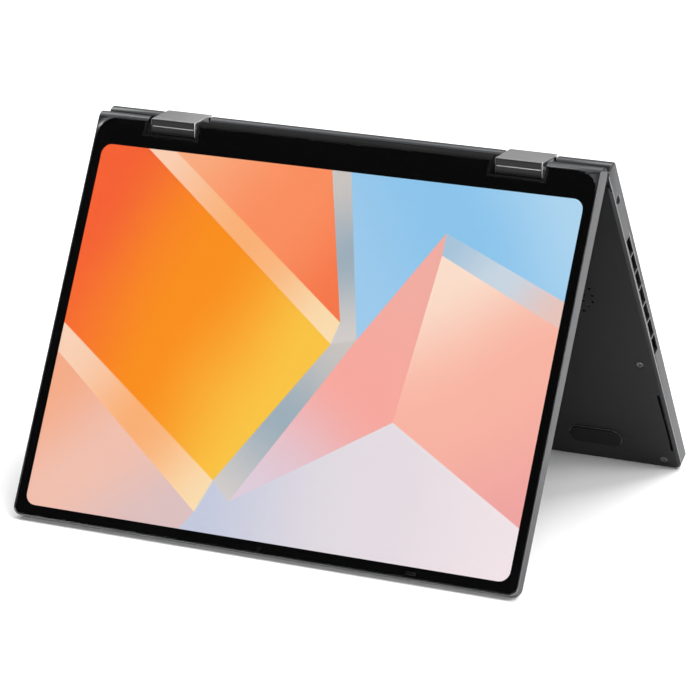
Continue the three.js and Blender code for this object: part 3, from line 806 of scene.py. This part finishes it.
@dataclass
class RefinedShell:
    """A shell that keeps its CAD shape and gets the small chamfers of the real part, in a lighter
    finish that paints their highlight.
    """

    node: str
    local: LocalFrame
    finish: Finish = DARK_ALUMINIUM
    edge: Finish = EDGE_HIGHLIGHT
    width: float = 0.25 * MM
    chamfer: Chamfer = Chamfer.RIM
    ends: Finish | None = None
    suffix: str = "shell"
    corner: float = 5.2 * MM
    near: float = 0.05 * MM
    END_TURN: ClassVar[float] = 0.55
    LENGTHWISE_TURN: ClassVar[float] = 0.3
    FLAT_TURN: ClassVar[float] = math.radians(0.6)
    SAME_POINT: ClassVar[float] = 0.001 * MM

    def mark_rim(self, mesh: bmesh.types.BMesh) -> None:
        """Marks the sharp edges on the outline of the shell.

        Args:
            mesh: the shell's mesh, in the row frame.
        """
        high = self.local.extent(self.node)[1]
        inward = self.local.matrix.inverted()
        weights = mesh.edges.layers.float.new("bevel_weight_edge")

        def on_outline(vertex: bmesh.types.BMVert) -> bool:
            """Tells whether a corner of the mesh is on the outline."""
            point = inward @ vertex.co
            from_side, from_front = high.x - abs(point.x), high.y - point.y
            return min(from_side, from_front) < self.near or max(from_side, from_front) < self.corner

        for edge in mesh.edges:
            sharp = len(edge.link_faces) == 2 and edge.calc_face_angle() > SHARP_TURN
            run = (edge.verts[1].co - edge.verts[0].co).normalized()
            lengthwise = abs(run.dot(self.local.up)) < self.LENGTHWISE_TURN
            if sharp and lengthwise and all(on_outline(vertex) for vertex in edge.verts):
                edge[weights] = 1.0

    def mark_ends(self, mesh: bmesh.types.BMesh) -> None:
        """Gives the faces that look along the local y axis the finish of the ends, which on the
        links is near-black painted shade.

        Args:
            mesh: the shell's mesh, in the row frame.
        """
        for face in mesh.faces:
            if abs(face.normal.dot(self.local.along)) > self.END_TURN:
                face.material_index = 2

    def build(self) -> bpy.types.Object:
        """Copies the CAD mesh, joins its flat faces when every sharp edge is chamfered, and chamfers
        its edges.

        Returns:
            The refined piece.
        """
        source = frame["nodes"][self.node]
        mesh = bmesh.new()
        mesh.from_mesh(source.data)
        for face in mesh.faces:
            face.material_index = 0
        bmesh.ops.remove_doubles(mesh, verts=mesh.verts, dist=self.SAME_POINT)
        finishes = [self.finish, self.edge]
        if self.chamfer is Chamfer.RIM:
            self.mark_rim(mesh)
        else:
            bmesh.ops.dissolve_limit(
                mesh, angle_limit=self.FLAT_TURN, verts=mesh.verts, edges=mesh.edges
            )
        if self.ends:
            finishes.append(self.ends)
            self.mark_ends(mesh)
        name = f"{self.node}_{self.suffix}"
        piece = Piece(name, source["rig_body"], slot_of(self.node), finishes, (self.node,))
        thing = piece.finish_off(mesh)
        self.add_chamfer(thing)
        return thing

    def add_chamfer(self, thing: bpy.types.Object) -> None:
        """Adds the modifiers that break the edges and even out the shading.

        Args:
            thing: the refined piece.
        """
        bevel = thing.modifiers.new("chamfer", "BEVEL")
        bevel.width = self.width
        bevel.segments = 2
        bevel.limit_method = self.chamfer.value
        bevel.angle_limit = SHARP_TURN
        bevel.use_clamp_overlap = False
        # The chamfer faces take the lighter edge finish, a painted highlight line.
        bevel.material = 1
        thing.modifiers.new("even_shading", "WEIGHTED_NORMAL").keep_sharp = True


@dataclass
class NotchedShell(RefinedShell):
    """A shell whose link notch walls take a near-black finish as painted shade."""

    ends: Finish | None = NOTCH_SHADE
    notch_reach: float = 18.6 * MM
    notch_depth: float = 9.4 * MM

    @property
    def notch_middle(self) -> float:
        """How far the middle of a link is from the middle of the shell."""
        low, high = self.local.extent("left_link_cover")
        return (low.x + high.x) / 2

    def mark_ends(self, mesh: bmesh.types.BMesh) -> None:
        """Gives the walls of the notches the near-black finish of painted shade.

        Args:
            mesh: the shell's mesh, in the row frame.
        """
        inward, middle = self.local.matrix.inverted(), self.notch_middle
        for face in mesh.faces:
            points = [inward @ vertex.co for vertex in face.verts]
            offsets = [abs(abs(point.x) - middle) for point in points]
            deepest = max(point.y for point in points)
            if max(offsets) < self.notch_reach and deepest < self.notch_depth:
                face.material_index = 2


def slot_of(node: str) -> str:
    """Returns the record's material slot of a CAD node."""
    parts = frame["record"]["subparts"]
    return next(part["material_slot"] for part in parts if part["node"] == node)


def dress_cad(nodes: Iterable[str], finish: Finish) -> None:
    """Gives carried-over CAD nodes a finish.

    Args:
        nodes: their names.
        finish: the finish.
    """
    for name in nodes:
        node = frame["nodes"][name]
        node.data.materials.clear()
        node.data.materials.append(finish.material())
        LOG.info("CAD node %s keeps its mesh and takes %s", name, finish.name)


# ---------------------------------------------------------------- sub-assemblies


@dataclass
class Lid:
    """The lid: metal back cover, glass, printed border, lit picture, camera and sensor.

    spot() takes shares of the active area: u from the low-x side and v from the hinge.
    """

    frame: LocalFrame = field(default_factory=lid_frame)
    active_width: float = 284.2 * MM
    active_length: float = 202.1 * MM
    active_start: float = 14.5 * MM
    active_corner: float = 6.0 * MM
    border: float = 2.5 * MM
    border_corner: float = 1.0 * MM
    ink_gap: float = 0.04 * MM
    ink_thickness: float = 0.06 * MM
    picture_gap: float = 0.2 * MM
    picture_thickness: float = 0.08 * MM
    window_gap: float = 0.05 * MM
    window_inset: float = 1.2 * MM
    pill: Point = (2.7 * MM, 0.7 * MM)
    lens_radius: float = 1.2 * MM

    @property
    def glass_back(self) -> float:
        """The local height of the glass's inner face."""
        return self.frame.extent("cover_glass")[1].z

    def build(self) -> None:
        """Builds the lid's pieces."""
        NotchedShell("lid_back_cover", self.frame, width=0.22 * MM).build()
        glass = (CLEAR_GLASS, CLEAR_GLASS, 0.12 * MM, Chamfer.ALL)
        RefinedShell("cover_glass", self.frame, *glass, suffix="plate").build()
        self.picture()
        self.printed_border()
        self.camera_and_sensor()
        dress_cad(["display_panel", "display_frame"], BLACK_INK)
        dress_cad(["webcam_module", "light_sensor"], BLACK_PLASTIC)

    def spot(self, u: float, v: float, z: float = 0.0) -> Vector:
        """Returns the local point at a share u, v of the active area, at height z."""
        along = self.active_start + v * self.active_length
        return Vector(((u - 0.5) * self.active_width, along, z))

    def picture(self) -> None:
        """Builds the lit picture, a plate of plain faceted colour."""
        z = self.glass_back + self.picture_gap
        mesh = bmesh.new()
        corners = {
            name: mesh.verts.new(self.spot(*place, z)) for name, place in Wallpaper.CORNERS.items()
        }
        facets = []
        for index, (outline, *_rest) in enumerate(Wallpaper.FACETS.values()):
            face = mesh.faces.new([corners[name] for name in outline])
            face.material_index = index
            facets.append(face)
        made = bmesh.ops.extrude_face_region(mesh, geom=facets, use_keep_orig=True)
        back = [item for item in made["geom"] if isinstance(item, bmesh.types.BMVert)]
        bmesh.ops.translate(mesh, verts=back, vec=Vector((0, 0, self.picture_thickness)))
        bmesh.ops.recalc_face_normals(mesh, faces=mesh.faces)
        finishes = [
            FacetFinish(name, self.spot(*start), self.spot(*end), colours)
            for name, (_outline, start, end, colours) in Wallpaper.FACETS.items()
        ]
        piece = Piece("lit_picture", "lid", "screen", finishes, place=self.frame.matrix)
        piece.finish_off(mesh)

    def printed_border(self) -> None:
        """Builds the black print that frames the picture behind the glass."""
        half = self.active_width / 2
        rows = (self.active_start, self.active_start + self.active_length)
        window = RoundedPlan((-half, half), rows, self.active_corner, 8)
        outside = RoundedPlan(
            (-half - self.border, half + self.border),
            (rows[0] - self.border, rows[1] + self.border),
            self.border_corner,
            8,
        )
        front = self.glass_back + self.ink_gap
        back = front + self.ink_thickness
        mesh = bmesh.new()
        rings = [outside.ring(front), window.ring(front), window.ring(back), outside.ring(back)]
        loft(mesh, rings, cyclic=True)
        place = self.frame.matrix
        Piece("printed_border", "lid", "black_plastic", (BLACK_INK,), place=place).finish_off(mesh)

    def camera_and_sensor(self) -> None:
        """Builds the camera's lens and the sensor's small window."""
        self.window("camera_lens", "webcam_module", (self.lens_radius, self.lens_radius), LENS)
        self.window("sensor_window", "light_sensor", self.pill, SENSOR_WINDOW)

    def window(self, name: str, node: str, half_size: Point, finish: Finish) -> None:
        """Builds a small window behind the glass, in front of a CAD node.

        Args:
            name: the window's name.
            node: the CAD node behind it.
            half_size: its half length and half width.
            finish: its finish.
        """
        low, high = self.frame.extent(node)
        front = self.glass_back + self.window_gap
        plan = capsule((low.x + high.x) / 2, high.y - self.window_inset, *half_size)
        steps = ((0.0, 0.0), (0.12 * MM, 0.0), (0.2 * MM, 0.2 * MM))
        mesh = bmesh.new()
        loft(mesh, [plan.ring(front + depth, inset) for depth, inset in steps])
        Piece(name, "lid", "black_plastic", (finish,), place=self.frame.matrix).finish_off(mesh)


class Wallpaper:
    """A plain design of folded bands, made for this display."""

    EMBER = (paint(250, 100, 54), paint(255, 146, 30), paint(255, 200, 70))
    SALMON = (paint(255, 176, 132), paint(255, 146, 98), paint(250, 122, 76))
    SKY = (paint(160, 206, 240), paint(142, 200, 240), paint(178, 218, 244))
    ROSE = (paint(246, 176, 164), paint(252, 172, 162), paint(226, 208, 222))
    BLUSH = (paint(255, 226, 206), paint(254, 184, 166), paint(244, 168, 164))
    SAND = (paint(250, 176, 140), paint(246, 196, 178), paint(224, 196, 196))
    LILAC = (paint(200, 206, 226), paint(232, 224, 230), paint(246, 232, 236))
    MIST = (paint(206, 200, 196), paint(160, 178, 190), paint(214, 208, 206))
    PEACH = (paint(255, 214, 186), paint(255, 180, 120), paint(255, 226, 180))
    FROST = (paint(170, 200, 222), paint(204, 218, 230), paint(236, 200, 190))

    CORNERS = {
        "a": (0.0, 0.0), "b": (0.10, 0.0), "c": (0.16, 0.0), "d": (0.49, 0.0),
        "e": (0.53, 0.0), "f": (1.0, 0.0), "g": (0.0, 0.50), "h": (0.0, 0.58),
        "i": (0.0, 1.0), "j": (0.57, 0.40), "k": (0.56, 0.46), "l": (0.61, 0.44),
        "m": (0.38, 0.86), "n": (0.355, 0.95), "o": (0.42, 0.91), "p": (0.33, 1.0),
        "q": (0.745, 0.13), "r": (0.745, 0.19), "s": (1.0, 0.27), "t": (1.0, 0.34),
        "u": (0.715, 0.64), "v": (1.0, 0.86), "w": (1.0, 1.0),
    }
    FACETS = {
        "facet_ember": ("abkmg", (0.0, 0.25), (0.50, 0.55), EMBER),
        "facet_upper_band": ("bcjk", (0.10, 0.0), (0.58, 0.44), PEACH),
        "facet_salmon": ("cdj", (0.18, 0.0), (0.56, 0.36), SALMON),
        "facet_pane": ("delkj", (0.50, 0.0), (0.59, 0.46), MIST),
        "facet_sky": ("efsql", (0.60, 0.40), (1.0, 0.0), SKY),
        "facet_ridge": ("qstr", (0.74, 0.15), (1.0, 0.33), FROST),
        "facet_rose": ("lqruo", (0.72, 0.20), (0.45, 0.88), ROSE),
        "facet_blush": ("rtvu", (0.74, 0.25), (1.0, 0.80), BLUSH),
        "facet_lower_band": ("klom", (0.60, 0.45), (0.38, 0.90), MIST),
        "facet_left_band": ("gmnh", (0.0, 0.54), (0.38, 0.92), PEACH),
        "facet_sand": ("hnpi", (0.0, 0.62), (0.28, 1.0), SAND),
        "facet_lilac": ("nmouvwp", (0.36, 0.95), (1.0, 0.92), LILAC),
    }


@dataclass
class BaseShells:
    """The base's metal shells, its screws and feet, and the sockets in its sides.

    FOOT_PROFILE holds shares of a foot's height and millimetres inwards.
    """

    frame: LocalFrame = field(default_factory=base_frame)
    underside_taper: float = 0.0106
    screw_radius: float = 2.2 * MM
    drive_radius: float = 1.15 * MM
    drive_depth: float = 0.45 * MM
    head_chamfer: Point = (0.25 * MM, 0.2 * MM)
    head_height: float = 0.75 * MM
    shank_radius: float = 1.0 * MM
    shank_step: float = 0.05 * MM
    tip_length: float = 0.3 * MM
    ring_steps: int = 24
    screws: int = 8
    rim_gap: float = 0.08 * MM
    rim_width: float = 0.26 * MM
    rim_drop: float = 0.2 * MM
    rim_crown: float = 0.04 * MM
    FOOT_PROFILE: ClassVar[tuple[Point, ...]] = (
        (0.0, 0.0), (0.55, 0.0), (0.8, 0.12), (0.93, 0.4), (0.98, 0.9), (1.0, 1.8),
    )

    @property
    def underside(self) -> LocalFrame:
        """The frame whose x and y axes lie in the bottom cover's outer face."""
        return self.frame.tilted(self.underside_taper)

    def build(self) -> None:
        """Builds the shells, screws and feet and dresses the sockets."""
        RefinedShell("deck", self.frame, width=0.3 * MM).build()
        # The bottom cover takes the darker aluminium, painted shade.
        RefinedShell("bottom_cover", self.frame, SHADED_COVER_ALUMINIUM, width=0.15 * MM).build()
        for index in range(self.screws):
            self.screw(f"bottom_screw_{index + 1}")
        for side in Side:
            for end in ("front", "rear"):
                self.foot(f"{end}_{side.value}_foot")
                self.foot_rim(f"{end}_{side.value}_foot")
        dress_cad(["usb_c_socket_rear", "usb_c_socket_front", "usb_a_socket"], STEEL)
        dress_cad(["audio_jack", "keyboard_plate"], BLACK_PLASTIC)

    def disc(self, centre: Vector, radius: float, z: float, sides: int = 0) -> Ring:
        """Draws a round or flat-sided ring.

        Args:
            centre: its centre; z is ignored.
            radius: its largest radius.
            z: its height.
            sides: number of flat sides, or 0 for a circle.

        Returns:
            The ring, counter-clockwise.
        """
        ring = []
        for index in range(self.ring_steps):
            angle = 2 * math.pi * index / self.ring_steps
            reach = radius
            if sides:
                wedge = math.pi / sides
                reach = radius * math.cos(wedge) / math.cos(angle % (2 * wedge) - wedge)
            offset = Vector((math.cos(angle), math.sin(angle))) * reach
            ring.append(Vector((centre.x + offset.x, centre.y + offset.y, z)))
        return ring

    def screw(self, node: str) -> None:
        """Builds a flat-headed screw with a six-sided recess.

        Args:
            node: the CAD node that it stands for.
        """
        low, high = self.underside.extent(node)
        centre = (low + high) / 2
        face, drive, depth = low.z, self.drive_radius, self.drive_depth
        head, shank = self.screw_radius, self.shank_radius
        mesh = bmesh.new()
        rings = [
            self.disc(centre, drive * 0.9, face + depth, 6),
            self.disc(centre, drive, face + 0.03 * MM, 6),
            self.disc(centre, drive * 1.12, face, 6),
            self.disc(centre, head - self.head_chamfer[0], face),
            self.disc(centre, head, face + self.head_chamfer[1]),
            self.disc(centre, head, face + self.head_height),
            self.disc(centre, shank, face + self.head_height + self.shank_step),
            self.disc(centre, shank, high.z - self.tip_length),
            self.disc(centre, shank * 0.7, high.z),
        ]
        loft(mesh, rings)
        place = self.underside.matrix
        Piece(f"{node}_body", "base", "steel", (DARK_STEEL,), (node,), place).finish_off(mesh)

    def foot_rim(self, node: str) -> None:
        """Builds a bright metal ring around a foot, in the gap of its recess, as a painted highlight
        on the recess rim.

        Args:
            node: the foot's CAD node.
        """
        low, high = self.underside.extent(node)
        centre, half = (low + high) / 2, (high - low) / 2
        near, far = self.rim_gap, self.rim_gap + self.rim_width
        inner = capsule(centre.x, centre.y, half.x + near, half.y + near)
        outer = capsule(centre.x, centre.y, half.x + far, half.y + far)
        top, face = high.z - 0.05 * MM, high.z - self.rim_drop
        crown = face - self.rim_crown
        mesh = bmesh.new()
        rings = [inner.ring(top), outer.ring(top), outer.ring(face), outer.ring(crown, 0.08 * MM)]
        rings += [inner.ring(crown, -0.02 * MM), inner.ring(face)]
        loft(mesh, rings, cyclic=True)
        place = self.underside.matrix
        Piece(f"{node}_rim", "base", "steel", (EDGE_HIGHLIGHT,), place=place).finish_off(mesh)

    def foot(self, node: str) -> None:
        """Builds a rubber foot with a softly rounded face.

        Args:
            node: the CAD node that it stands for.
        """
        low, high = self.underside.extent(node)
        centre, half = (low + high) / 2, (high - low) / 2
        plan = capsule(centre.x, centre.y, half.x, half.y)
        drop = high.z - low.z
        mesh = bmesh.new()
        rings = [plan.ring(high.z - share * drop, inset * MM) for share, inset in self.FOOT_PROFILE]
        loft(mesh, rings)
        place = self.underside.matrix
        Piece(f"{node}_pad", "base", "rubber", (RUBBER,), (node,), place).finish_off(mesh)


@dataclass
class Keyboard:
    """Key rows with dished caps, the sheet between them, and the touchpad.

    RIM_PROFILE holds millimetres below the rim and inwards, and DISH_PROFILE shares of the
    dish's depth and millimetres inwards.
    """

    frame: LocalFrame = field(default_factory=base_frame)
    pitch: float = 18.2 * MM
    gap: float = 2.2 * MM
    web_margin: float = 0.4 * MM
    corner: float = 1.3 * MM
    dish: float = 0.14 * MM
    function_units: float = 14.75 / 14
    node_gap: float = 0.3 * MM
    sheet_corner: float = 0.6 * MM
    sheet_thickness: float = 0.4 * MM
    skirt_height: float = 0.35 * MM
    homing_keys: tuple[int, int] = (4, 7)
    homing_size: Point = (1.7 * MM, 0.3 * MM)
    homing_place: float = 3.6 * MM
    pad_corner: float = 2.0 * MM
    pad_edge: float = 0.3 * MM
    pad_rim: float = 0.5 * MM
    RIM_PROFILE: ClassVar[tuple[Point, ...]] = ((0.35, 0.32), (0.1, 0.42), (0.0, 0.66))
    DISH_PROFILE: ClassVar[tuple[Point, ...]] = ((0.35, 1.4), (0.75, 2.6), (1.0, 3.8))

    def rows(self) -> dict[str, list[float]]:
        """Returns each row's key widths in key pitches, from the typist's left."""
        return {
            "function_key_row": [self.function_units] * 13,
            "power_button": [self.function_units],
            "number_key_row": [1.0] * 13 + [1.75],
            "upper_letter_row": [1.5] + [1.0] * 12 + [1.25],
            "home_letter_row": [1.75] + [1.0] * 11 + [2.0],
            "lower_letter_row": [2.25] + [1.0] * 10 + [2.5],
            "left_modifier_keys": [1.25, 1.0, 1.0, 1.0],
            "space_bar": [5.0],
            "right_modifier_keys": [1.0, 1.5, 1.0, 1.0, 1.0],
        }

    def build(self) -> None:
        """Builds every key row and the touchpad."""
        for node, widths in self.rows().items():
            self.row(node, widths)
        self.touchpad()

    def row(self, node: str, widths: Sequence[float]) -> None:
        """Builds the keys of a row on their sheet.

        Args:
            node: the CAD node that the row stands for.
            widths: the keys' widths, in key pitches.
        """
        low, high = self.frame.extent(node)
        mesh = bmesh.new()
        sheet = RoundedPlan((low.x, high.x), (low.y, high.y), self.sheet_corner, 3)
        loft(mesh, [sheet.ring(low.z), sheet.ring(low.z + self.sheet_thickness)])
        for face in mesh.faces:
            face.material_index = 1
        start, skirt = high.x + self.web_margin, low.z + self.skirt_height
        inset = self.gap / 2
        depth = (low.y - self.node_gap + inset, high.y + self.node_gap - inset)
        for index, units in enumerate(widths):
            end = start - units * self.pitch
            self.cap(mesh, (end + inset, start - inset), depth, skirt, high.z)
            if node == "home_letter_row" and index in self.homing_keys:
                self.homing_bar(mesh, (start + end) / 2, depth, high.z)
            start = end
        body, finishes = frame["nodes"][node]["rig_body"], (KEY_PLASTIC, KEY_SHEET)
        place = self.frame.matrix
        Piece(f"{node}_caps", body, slot_of(node), finishes, (node,), place).finish_off(mesh)

    def cap(
        self, mesh: bmesh.types.BMesh, x: Point, y: Point, bottom: float, top: float
    ) -> None:
        """Adds one keycap: drafted sides, a soft rim and a dished top.

        Args:
            mesh: the row's mesh.
            x: the cap's span across.
            y: its span along.
            bottom: the height of its skirt.
            top: the height of its rim.
        """
        plan = RoundedPlan(x, y, self.corner, 4)
        profile = [(bottom, 0.0)]
        profile += [(top - drop * MM, inset * MM) for drop, inset in self.RIM_PROFILE]
        profile += [(top - share * self.dish, inset * MM) for share, inset in self.DISH_PROFILE]
        loft(mesh, [plan.ring(z, inset) for z, inset in profile])

    def homing_bar(self, mesh: bmesh.types.BMesh, x: float, y: Point, top: float) -> None:
        """Adds the small raised bar that a typist's finger finds.

        Args:
            mesh: the row's mesh.
            x: the key's middle.
            y: the key's span along.
            top: the height of its rim.
        """
        plan = capsule(x, y[1] - self.homing_place, *self.homing_size)
        steps = ((0.3 * MM, 0.0), (0.05 * MM, 0.0), (0.0, 0.12 * MM))
        loft(mesh, [plan.ring(top - drop, inset) for drop, inset in steps])

    def touchpad(self) -> None:
        """Builds the touchpad plate, whose chamfer band takes the lighter edge finish as a painted
        highlight.
        """
        low, high = self.frame.extent("touchpad")
        plan = RoundedPlan((low.x, high.x), (low.y, high.y), self.pad_corner, 6)
        mesh = bmesh.new()
        rings = [
            plan.ring(low.z),
            plan.ring(high.z - self.pad_edge),
            plan.ring(high.z, self.pad_edge),
            plan.ring(high.z, self.pad_rim),
        ]
        loft(mesh, rings, (0, 1, 0))
        finishes = (DARK_ALUMINIUM, EDGE_HIGHLIGHT)
        body, place = "click_pad", self.frame.matrix
        piece = Piece("touchpad_plate", body, "dark_aluminium", finishes, ("touchpad",), place)
        piece.finish_off(mesh)


@dataclass
class HingeLinks:
    """The two link covers with bright metal strips that paint a highlight line on their end faces,
    and the steel that runs through them.
    """

    frame: LocalFrame = field(default_factory=link_frame)
    highlight_strip_span: Point = (0.3 * MM, 0.85 * MM)
    highlight_strip_corner: float = 0.25 * MM
    highlight_strip_inset: float = 0.9 * MM
    highlight_strip_root: float = 0.3 * MM
    highlight_strip_depth: float = 0.12 * MM
    STEEL_PARTS: ClassVar[tuple[str, ...]] = (
        "link_inner_plate", "link_outer_plate", "lid_side_gear", "base_side_gear",
        "lid_hinge_arm", "base_hinge_arm",
    )

    def build(self) -> None:
        """Builds both links and dresses the steel inside them."""
        for side in Side:
            node = f"{side.value}_link_cover"
            metal = (LINK_METAL, LINK_METAL, 0.3 * MM, Chamfer.ALL)
            # The links' end faces take near-black painted shade.
            RefinedShell(node, self.frame, *metal, ends=LINK_END_SHADE).build()
            for facing in (-1, 1):
                self.highlight_strip(node, facing)
            dress_cad([f"{side.value}_{part}" for part in self.STEEL_PARTS], STEEL)

    def highlight_strip(self, node: str, facing: int) -> None:
        """Builds the bright metal strip along the end face of a link: a painted highlight line.

        Args:
            node: the link cover's CAD node.
            facing: -1 for the lid's end, 1 for the base's.
        """
        low, high = self.frame.extent(node)
        face = high.y if facing > 0 else low.y
        across = (low.x + self.highlight_strip_inset, high.x - self.highlight_strip_inset)
        plan = RoundedPlan(across, self.highlight_strip_span, self.highlight_strip_corner, 4)
        depth = self.highlight_strip_depth
        steps = ((-self.highlight_strip_root, 0.0), (0.5 * depth, 0.0), (depth, 0.12 * MM))
        mesh = bmesh.new()
        rings = []
        for proud, inset in steps:
            y = face + facing * proud
            rings.append([Vector((point.x, y, point.y)) for point in plan.ring(0, inset)])
        loft(mesh, rings)
        end = "base_end" if facing > 0 else "lid_end"
        name = node.replace("cover", f"trim_{end}")
        place = self.frame.matrix
        Piece(name, "hinge_links", "link_metal", (LINK_METAL,), place=place).finish_off(mesh)


class Internals:
    """What works inside the base: boards, cooling, battery and speakers."""

    BOARDS = ("mainboard", "storage_drive")
    PLASTIC = ("fan_housing", "fan_rotor", "left_speaker", "right_speaker")

    def build(self) -> None:
        """Dresses the internal parts, which keep their CAD shapes."""
        dress_cad(self.BOARDS, BOARD)
        dress_cad(self.PLASTIC, BLACK_PLASTIC)
        dress_cad(["heat_sink"], COPPER)
        dress_cad(["battery"], BATTERY_WRAP)


# ---------------------------------------------------------------- studio


@dataclass(frozen=True)
class FloorFinish(Finish):
    """A pale sweep of studio floor."""

    name: str = "studio_floor"
    dark: Colour = (0.86, 0.86, 0.86)
    pale: Colour = (0.9, 0.9, 0.9)

    def dress(self, graph: Graph, shader: bpy.types.Node) -> None:
        """Gives the floor a very faint unevenness."""
        patches = graph.noise(graph.object_coordinates(), 3.0, 2)
        shade = graph.mix(patches, self.dark, self.pale)
        graph.fill(shader, Base_Color=shade, Roughness=0.7, Specular_IOR_Level=0.1)


@dataclass
class SoftLight:
    """A large square lamp that faces a point."""

    name: str
    place: tuple[float, float, float]
    target: tuple[float, float, float]
    size: float
    power: float

    def build(self) -> None:
        """Adds the lamp."""
        data = bpy.data.lights.new(self.name, "AREA")
        data.size = self.size
        data.energy = self.power
        lamp = bpy.data.objects.new(self.name, data)
        bpy.context.scene.collection.objects.link(lamp)
        lamp.location = self.place
        towards = Vector(self.target) - Vector(self.place)
        lamp.rotation_euler = towards.to_track_quat("-Z", "Y").to_euler()


@dataclass
class Studio:
    """Floor, lights, sky and camera."""

    floor_side: float = 12.0
    floor_gap: float = 0.2 * MM
    azimuth: float = 25.77
    elevation: float = 16.83
    distance: float = 2.0605
    aim: tuple[float, float, float] = (-0.0008, -0.0065, 0.083)
    lens: float = 195.0
    sensor: float = 36.0
    low_sky: tuple[float, Colour] = (0.16, (0.4, 0.4, 0.4))
    high_sky: tuple[float, Colour] = (0.42, (0.04, 0.04, 0.042))

    def build(self) -> None:
        """Builds the studio."""
        self.floor()
        self.sky()
        lights = (
            SoftLight("key_light", (0.5, 1.2, 3.0), (0.1, 0.0, 0.0), 2.8, 150.0),
            SoftLight("side_light", (1.9, -0.8, 2.4), (0.3, -0.1, 0.0), 1.6, 60.0),
            SoftLight("low_light", (1.1, -2.2, 0.5), (0.1, 0.0, 0.08), 0.7, 45.0),
            SoftLight("rim_light", (-2.0, 1.0, 2.2), (0.0, 0.0, 0.1), 1.4, 40.0),
        )
        for light in lights:
            light.build()
        self.camera()
        bpy.context.scene.view_settings.view_transform = "Standard"

    def floor(self) -> None:
        """Adds the floor plane at the height where the laptop stands."""
        bpy.ops.mesh.primitive_grid_add(size=self.floor_side, x_subdivisions=4, y_subdivisions=4)
        floor = bpy.context.active_object
        floor.name = "studio_floor"
        floor.location.z = CAD_BOX[0].z - self.floor_gap
        floor.data.materials.append(FloorFinish().material())

    def sky(self) -> None:
        """Lights the room more near the horizon than overhead."""
        world = bpy.data.worlds.new("studio_sky")
        bpy.context.scene.world = world
        world.use_nodes = True
        world.node_tree.nodes.clear()
        graph = Graph(world.node_tree)
        height = graph.add("SeparateXYZ")
        graph.plug(height.inputs[0], graph.add("TexCoord").outputs["Generated"])
        ramp = graph.add("ValToRGB")
        graph.plug(ramp.inputs[0], height.outputs["Z"])
        for stop, (place, colour) in zip(ramp.color_ramp.elements, (self.low_sky, self.high_sky)):
            stop.position, stop.color = place, (*colour, 1)
        background, sink = graph.add("Background", Strength=1.0), graph.add("OutputWorld")
        graph.plug(background.inputs["Color"], ramp.outputs[0])
        graph.plug(sink.inputs[0], background.outputs[0])

    def camera(self) -> None:
        """Places the camera at the three-quarter view of the display."""
        turn, rise = math.radians(self.azimuth), math.radians(self.elevation)
        flat = Vector((math.sin(turn), -math.cos(turn), 0.0)) * math.cos(rise)
        back = flat + Vector((0.0, 0.0, math.sin(rise)))
        data = bpy.data.cameras.new("camera")
        data.lens, data.sensor_width = self.lens, self.sensor
        camera = bpy.data.objects.new("camera", data)
        bpy.context.scene.collection.objects.link(camera)
        camera.location = Vector(self.aim) + back * self.distance
        camera.rotation_euler = (-back).to_track_quat("-Z", "Y").to_euler()
        bpy.context.scene.camera = camera


def main() -> None:
    """Builds the sub-assemblies in order."""
    logging.basicConfig(level=logging.INFO, format="%(name)s: %(message)s")
    for part in (Lid(), BaseShells(), Keyboard(), HingeLinks(), Internals(), Studio()):
        LOG.info("building %s", type(part).__name__)
        part.build()


if __name__ == "__main__":
    main()
